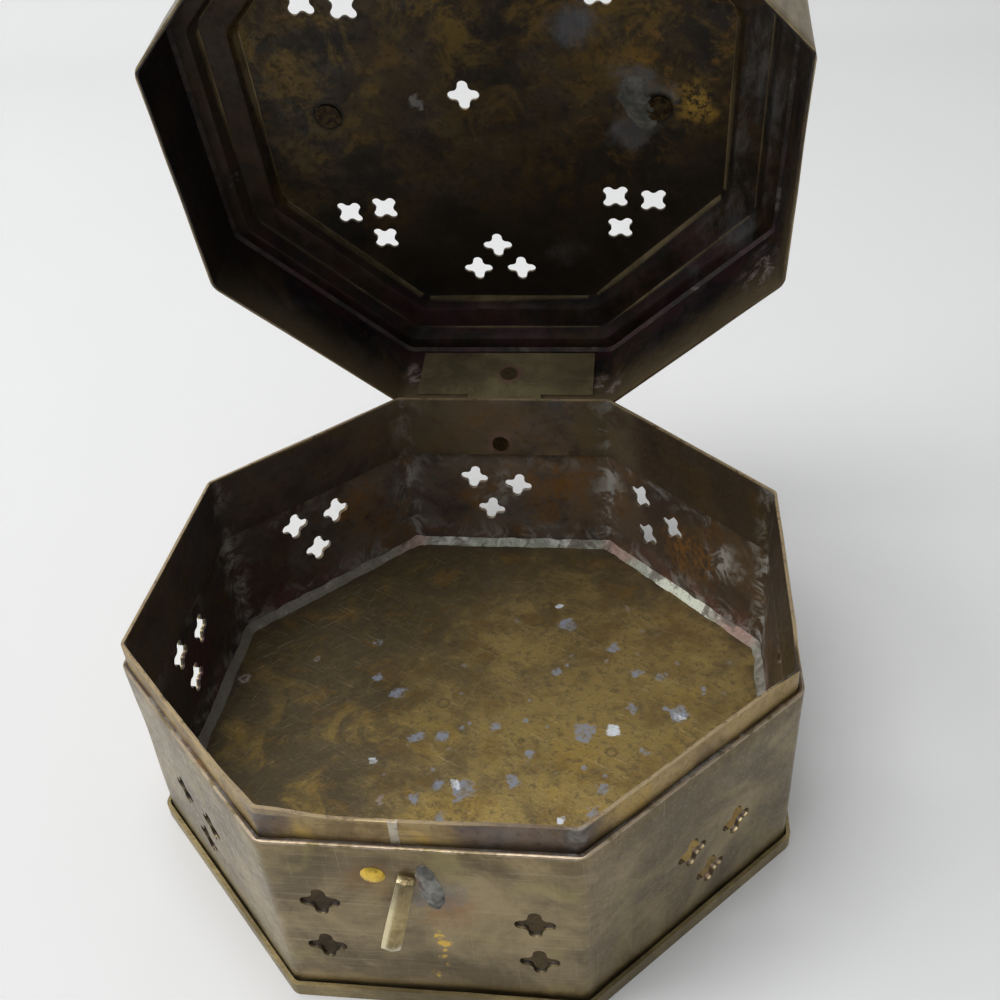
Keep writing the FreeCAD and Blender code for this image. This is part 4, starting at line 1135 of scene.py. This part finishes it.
def make_finishes():
    """Finishes for all pieces that keep their plain solids."""
    paint("collar_seam", plain_metal("collar solder", (0.52, 0.47, 0.37), (0.30, 0.26, 0.18),
                                     0.42))
    paint("lid_seam_solder", lid_line_finish())
    leaf = leaf_finish()
    for name in ("body_hinge_leaf", "lid_hinge_leaf"):
        paint(name, leaf)
    dull = plain_metal("dull rivet brass", (0.15, 0.11, 0.06), (0.05, 0.038, 0.024), 0.4)
    for name in ("body_hinge_rivet", "lid_hinge_rivet", "hinge_pin", "hasp_bracket_rivets"):
        paint(name, dull)
    bright = plain_metal("bright rivet brass", (0.86, 0.60, 0.09), (0.66, 0.42, 0.07), 0.28,
                         grain=0.8, wear=(0.95, 0.74, 0.24))
    paint("front_rivet", bright)
    cast = plain_metal("cast handle brass", (0.36, 0.26, 0.105), (0.16, 0.11, 0.05), 0.34)
    paint("handle_bail", cast)
    for name in ("handle_post_left", "handle_post_right"):
        paint(name, post_finish())
    wire = plain_metal("wire brass", (0.38, 0.28, 0.12), (0.18, 0.13, 0.06), 0.36, grain=0.9)
    for name in ("hasp_bracket", "hasp_loop"):
        paint(name, wire)


# Stage

def make_stage():
    """The pale floor that bends up behind, two soft lamps, even light and the camera."""
    deselect()
    stage = bpy.context.scene.lantern_stage
    f = Finish("pale sheet")
    pale = stage.floor_tone
    tone = f.toned(f.cloud(300, 2, 0.5, 0, 200.0), (pale - 0.02, pale - 0.02, pale - 0.025),
                   (pale, pale, pale))
    paper = f.finished(tone, 0.55, 0.0)
    bpy.ops.mesh.primitive_plane_add(size=6.0, location=(0, -2.3, 0))
    floor = bpy.context.object
    floor.name = "studio_floor"
    freeze()
    with chosen(floor, "EDGE", lambda a, b: min(a.y, b.y) > 0.69):
        bpy.ops.mesh.extrude_region_move(TRANSFORM_OT_translate={"value": (0, 0.05, 2.0)})
    apply(floor, "BEVEL", width=0.12, segments=12, limit_method="ANGLE")
    floor.data.materials.append(paper)
    done(floor)

    world = bpy.data.worlds.new("studio")
    world.use_nodes = True
    background = world.node_tree.nodes["Background"]
    background.inputs["Color"].default_value = (0.93, 0.96, 1.0, 1.0)
    background.inputs["Strength"].default_value = stage.surround
    bpy.context.scene.world = world
    lamps = (("top light", (-0.30, -0.10, 1.5), (0, -0.05, 0), 1.3, stage.top_power),
             ("left light", (-1.2, -0.25, 0.8), (0, 0, 0.03), 0.8, stage.side_power))
    for name, at, target, width, power in lamps:
        bpy.ops.object.light_add(type="AREA", location=at)
        lamp = bpy.context.object
        lamp.name = name
        lamp.data.shape = "DISK"
        lamp.data.size = width
        lamp.data.energy = power
        aim = Vector(target) - Vector(at)
        lamp.rotation_euler = aim.to_track_quat("-Z", "Y").to_euler()

    bpy.ops.object.camera_add(location=(0.0362, -0.1774, 0.2024))
    camera = bpy.context.object
    ahead = Vector((-0.1199, 0.7933, -0.5970))
    across = Vector((0.9926, 0.1064, -0.0580))
    above = -Vector((0.0175, -0.5995, -0.8002))
    turn = Matrix((across, above, -ahead)).transposed()
    camera.rotation_euler = turn.to_euler()
    camera.data.sensor_width = 36.0
    camera.data.lens = 39.96
    camera.data.shift_x = -0.007
    camera.data.clip_start = 0.01
    bpy.context.scene.camera = camera
    bpy.context.scene.view_settings.view_transform = "Standard"


class LANTERN_OT_wall(bpy.types.Operator):
    """Models the pierced wall with its hand-made unevenness"""
    bl_idname = "lantern.wall"
    bl_label = "Pierced wall"

    def execute(self, context):
        size = sizes()
        piece = octagon_band("wall_sheet", WALL_HIGH.x, WALL_LOW.z, WALL_HIGH.z, size.wall_corner,
                             13, 9)
        dent(piece, "wall dents", 26, size.dent_depth / MM)
        nudge(piece, (-66, -26, 30), 16, (0.25, 0.15, 0))
        nudge(piece, (0, -67, 14), 15, (0, 0.35, 0))
        apply(piece, "SOLIDIFY", thickness=size.wall_sheet, offset=-1.0, use_even_offset=True)
        soften_rims(piece, WALL_LOW.z, WALL_HIGH.z, 0.15 * MM)
        places = []
        for facing, shift, height, tilt in WALL_THREES:
            for across, drop in ((-6.1, 0.0), (6.1, 0.0), (0.0, -9.5)):
                lean = math.radians(tilt)
                along = shift + across * math.cos(lean) - drop * math.sin(lean)
                up = height + across * math.sin(lean) + drop * math.cos(lean)
                places.append(on_face(facing, WALL_HIGH.x, along * MM, FLOOR_Z + up * MM, lean))
        for across, height in FRONT_HOLES:
            places.append(on_face(270, WALL_HIGH.x, across * MM, FLOOR_Z + height * MM))
        punch_holes(piece, places)
        settle(done(piece), "base", "wall_band", wall_finish())
        return {"FINISHED"}


class LANTERN_OT_collar(bpy.types.Operator):
    """Models the collar band with its bent front edge"""
    bl_idname = "lantern.collar"
    bl_label = "Inner collar"

    def execute(self, context):
        size = sizes()
        flat = WALL_HIGH.x - size.wall_sheet
        piece = octagon_band("collar_sheet", flat, COLLAR_LOW.z, COLLAR_HIGH.z,
                             size.wall_corner - size.wall_sheet, 15, 5)
        dent(piece, "collar dents", 20, size.dent_depth * 0.7 / MM)
        for centre, reach, move in COLLAR_BENDS:
            nudge(piece, centre, reach, move)
        apply(piece, "SOLIDIFY", thickness=size.collar_sheet, offset=-1.0, use_even_offset=True)
        soften_rims(piece, COLLAR_LOW.z, COLLAR_HIGH.z, 0.12 * MM)
        settle(done(piece), "base", "inner_collar", collar_finish())
        return {"FINISHED"}


class LANTERN_OT_tray(bpy.types.Operator):
    """Models the pressed floor with its channel and turned-up rim"""
    bl_idname = "lantern.tray"
    bl_label = "Floor and foot"

    def execute(self, context):
        piece = octagon_plate("floor_sheet", TRAY_HIGH.x, 0.0)
        with chosen(piece, "FACE", everywhere):
            bpy.ops.mesh.inset(thickness=3.1 * MM, use_even_offset=True)
            bpy.ops.mesh.extrude_region_move(TRANSFORM_OT_translate={"value": (0, 0, 3.0 * MM)})
        outer = TRAY_HIGH.x - 0.2 * MM
        with chosen(piece, "EDGE", lambda a, b: min(flat_reach(a), flat_reach(b)) > outer):
            bpy.ops.mesh.extrude_region_move(TRANSFORM_OT_translate={"value": (0, 0, 3.4 * MM)})
        round_corners(piece, across_corner, 2.4 * MM, 5)
        with chosen(piece, "EDGE", lambda a, b: level(a, b) and (a - b).length > 12 * MM):
            bpy.ops.mesh.subdivide(number_cuts=9)
        face_up(piece)
        apply(piece, "SOLIDIFY", thickness=0.8 * MM, offset=1.0, use_even_offset=True)
        crosscut(piece, 7.5 * MM, 8)
        mark(piece, "floor", lambda co: flat_reach(co) < 61 * MM)
        mark(piece, "rim", lambda co: co.z > 3.2 * MM and flat_reach(co) > 67.5 * MM)
        dent(piece, "floor dents", 30, 0.45, "floor", "Z")
        dent(piece, "rim dents", 9, 0.5, "rim", "Z")
        settle(done(piece), "base", "base_tray", floor_finish())
        return {"FINISHED"}


class LANTERN_OT_lid_top(bpy.types.Operator):
    """Models the stepped, pierced lid top with its soft pressed steps"""
    bl_idname = "lantern.lid_top"
    bl_label = "Stepped lid top"

    def execute(self, context):
        size = sizes()
        piece = octagon_plate("lid_sheet", SKIRT_FLAT, LID_SEAT)
        with chosen(piece, "FACE", everywhere):
            for width, rise in LID_STEPS:
                bpy.ops.mesh.inset(thickness=width * MM, use_even_offset=True)
                if rise:
                    bpy.ops.transform.translate(value=(0, 0, rise * MM))
        round_corners(piece, across_corner, size.skirt_corner, 6)
        face_up(piece)
        apply(piece, "SOLIDIFY", thickness=size.lid_sheet, offset=1.0, use_even_offset=True)
        crosscut(piece, 7.0 * MM, 9)
        mark(piece, "pressed", lambda co: flat_reach(co) < 65 * MM)
        dent(piece, "lid dents", 24, size.dent_depth / MM, "pressed", "Z")
        places = []
        for direction, shift, outward in LID_THREES:
            for across, drop in ((-5.7, 0.0), (5.7, 0.0), (0.0, -7.4)):
                turn = Matrix.Rotation(math.radians(direction - 90), 4, "Z")
                spot = Vector((across - shift, 45.6 + outward + drop, 0)) * MM
                places.append(Matrix.Translation((0, 0, PANEL)) @ turn @ Matrix.Translation(spot))
        places.append(Matrix.Translation((-5.9 * MM, -4.3 * MM, PANEL)))
        punch_holes(piece, places)
        shanks = [round_cutter((side * POST_SIDE * MM, 0, PANEL), (0, 0, 1), 3.25 * MM, 8 * MM)
                  for side in (-1, 1)]
        cut_with(piece, shanks)
        lay_open(piece)
        settle(done(piece, 40), "lid", "lid_top", lid_finish())
        return {"FINISHED"}


class LANTERN_OT_skirt(bpy.types.Operator):
    """Models the lid's skirt with its notch for the hinge leaf"""
    bl_idname = "lantern.skirt"
    bl_label = "Lid skirt"

    def execute(self, context):
        def looseness(co):
            share = min(1.0, max(0.0, (LID_SEAT - co.z) / (LID_SEAT - LID_EDGE)))
            return share if co.y < 40 * MM else 0.0

        size = sizes()
        piece = octagon_band("skirt_sheet", SKIRT_FLAT, LID_EDGE, LID_SEAT, size.skirt_corner,
                             13, 5)
        mark(piece, "loose edge", looseness)
        dent(piece, "skirt dents", 24, size.dent_depth / MM, "loose edge")
        apply(piece, "SOLIDIFY", thickness=size.lid_sheet, offset=-1.0, use_even_offset=True)
        soften_rims(piece, LID_EDGE, 1.0, 0.12 * MM)
        deselect()
        bpy.ops.mesh.primitive_cube_add(size=1.0, location=(0, SKIRT_FLAT, LID_EDGE),
                                        scale=(20.0 * MM, 4.0 * MM, 1.3 * MM))
        cut_with(piece, [bpy.context.object])
        lay_open(piece)
        settle(done(piece), "lid", "lid_skirt", skirt_finish())
        return {"FINISHED"}


class LANTERN_OT_floor_solder(bpy.types.Operator):
    """Models the uneven solder line round the floor joint"""
    bl_idname = "lantern.floor_solder"
    bl_label = "Floor solder line"

    def execute(self, context):
        piece = octagon_band("floor_solder_line", SOLDER_OUTER * MM, FLOOR_Z - 0.1 * MM,
                             FLOOR_Z + 1.8 * MM, 2.0 * MM, 44, 0)
        with chosen(piece, "EDGE", lambda a, b: level(a, b) and a.z > FLOOR_Z):
            bpy.ops.mesh.extrude_region_move(TRANSFORM_OT_translate={"value": (0, 0, -1.85 * MM)})
            inwards = SOLDER_INNER / SOLDER_OUTER
            bpy.ops.transform.resize(value=(inwards, inwards, 1), center_override=(0, 0, 0))
        with chosen(piece, "EDGE", lambda a, b: not level(a, b)
                    and abs(flat_reach(a) - flat_reach(b)) > 0.5 * MM):
            bpy.ops.mesh.subdivide(number_cuts=2)
        dent(piece, "solder ripples", 5, sizes().solder_lump / MM)
        dent(piece, "solder lumps", 2.2, sizes().solder_lump * 0.5 / MM)
        settle(done(piece, 80), "base", "floor_solder", floor_line_finish())
        return {"FINISHED"}


class LANTERN_OT_catch(bpy.types.Operator):
    """Models the curved catch strip and the solder run beside its root"""
    bl_idname = "lantern.catch"
    bl_label = "Catch strip"

    def execute(self, context):
        deselect()
        bpy.ops.mesh.primitive_plane_add(size=1.0, location=(0, 0.2 * MM, 0.8 * MM))
        piece = bpy.context.object
        piece.name = "catch_strip"
        piece.scale = (CATCH_WIDTH * MM, 1.8 * MM, 1)
        freeze()
        with chosen(piece, "EDGE", lambda a, b: max(a.y, b.y) < -0.5 * MM):
            for outward, down, widen in CATCH_PATH:
                bpy.ops.mesh.extrude_region_move(
                    TRANSFORM_OT_translate={"value": (0, -outward * MM, -down * MM)})
                bpy.ops.transform.resize(value=(widen, 1, 1), center_override=(0, 0, 0))
        with chosen(piece, "EDGE", lambda a, b: abs(a.x - b.x) > 1.0 * MM):
            bpy.ops.mesh.subdivide(number_cuts=3)
        with chosen(piece, "VERT", lambda co: abs(co.x) < 0.2 * MM and co.y < -1.0 * MM):
            bpy.ops.transform.translate(value=(0, -0.28 * MM, 0.05 * MM))
        with chosen(piece, "VERT", lambda co: co.x > 1.0 * MM and co.z < -2.0 * MM):
            bpy.ops.transform.translate(value=(0, 0.35 * MM, 0))
        face_towards(piece, Vector((0, -1, 0.4)))
        apply(piece, "SOLIDIFY", thickness=0.8 * MM, offset=-1.0, use_even_offset=True)
        apply(piece, "BEVEL", width=0.16 * MM, segments=2, limit_method="ANGLE")
        apply(piece, "SUBSURF", levels=1, render_levels=1)
        take(piece)
        piece.matrix_world = (Matrix.Translation((CATCH_X * MM, -WALL_HIGH.x, CATCH_ROOT * MM))
                              @ Matrix.Rotation(CATCH_TILT, 4, "Y"))
        freeze()
        settle(done(piece, 50), "base", "latch_catch", catch_finish())
        place = on_face(270, WALL_HIGH.x - 0.08 * MM, 1.4 * MM, 35.8 * MM, math.radians(8))
        run = solder_patch("catch_solder_run", place, 4.2, 13.0, 0.7, ragged=0.45)
        settle(done(run, 80), "base", "catch_solder",
               solder_finish("catch solder", green=0.1, tone=0.85))
        return {"FINISHED"}


class LANTERN_OT_handle_solder(bpy.types.Operator):
    """Models the ragged solder spill beside the right handle post"""
    bl_idname = "lantern.handle_solder"
    bl_label = "Handle solder"

    def execute(self, context):
        spill = Matrix.Translation((34.4 * MM, -1.0 * MM, PANEL + 0.1 * MM))
        spill = spill @ Matrix.Rotation(math.pi, 4, "X") @ Matrix.Rotation(0.3, 4, "Z")
        piece = solder_patch("handle_solder_spill", spill, 7.5, 15.0, 0.5, turned=True)
        settle(done(piece, 80), "lid", "handle_solder",
               solder_finish("handle solder", True, 0.15, 0.42))
        return {"FINISHED"}


class LANTERN_OT_fittings(bpy.types.Operator):
    """Finishes the fittings that keep their plain solids"""
    bl_idname = "lantern.fittings"
    bl_label = "Fittings' finishes"

    def execute(self, context):
        make_finishes()
        return {"FINISHED"}


class LANTERN_OT_stage(bpy.types.Operator):
    """Adds the pale floor, the soft lights and the camera"""
    bl_idname = "lantern.stage"
    bl_label = "Studio stage"

    def execute(self, context):
        make_stage()
        return {"FINISHED"}


STEPS = (LANTERN_OT_tray, LANTERN_OT_floor_solder, LANTERN_OT_wall, LANTERN_OT_collar,
         LANTERN_OT_catch, LANTERN_OT_skirt, LANTERN_OT_lid_top, LANTERN_OT_handle_solder,
         LANTERN_OT_fittings, LANTERN_OT_stage)


class LANTERN_PT_panel(bpy.types.Panel):
    """Lists the box's pieces and their settings"""
    bl_idname = "LANTERN_PT_panel"
    bl_label = "Brass lantern box"
    bl_space_type = "VIEW_3D"
    bl_region_type = "UI"
    bl_category = "Lantern"

    def draw(self, context):
        for step in STEPS:
            self.layout.operator(step.bl_idname)
        for group in (sizes(), colours(), context.scene.lantern_stage):
            box = self.layout.box()
            for name in group.__annotations__:
                box.prop(group, name)


GROUPS = {"lantern_sizes": LanternSizes, "lantern_colours": LanternColours,
          "lantern_stage": LanternStage}


def register():
    for made in (*GROUPS.values(), *STEPS, LANTERN_PT_panel):
        bpy.utils.register_class(made)
    for name, group in GROUPS.items():
        setattr(bpy.types.Scene, name, PointerProperty(type=group))


def unregister():
    for name in GROUPS:
        delattr(bpy.types.Scene, name)
    for made in reversed((*GROUPS.values(), *STEPS, LANTERN_PT_panel)):
        bpy.utils.unregister_class(made)


def main():
    register()
    for step in STEPS:
        operator = getattr(bpy.ops.lantern, step.bl_idname.split(".")[1])
        if operator() != {"FINISHED"}:
            raise RuntimeError(step.bl_label + " didn't finish")


if __name__ == "__main__":
    main()
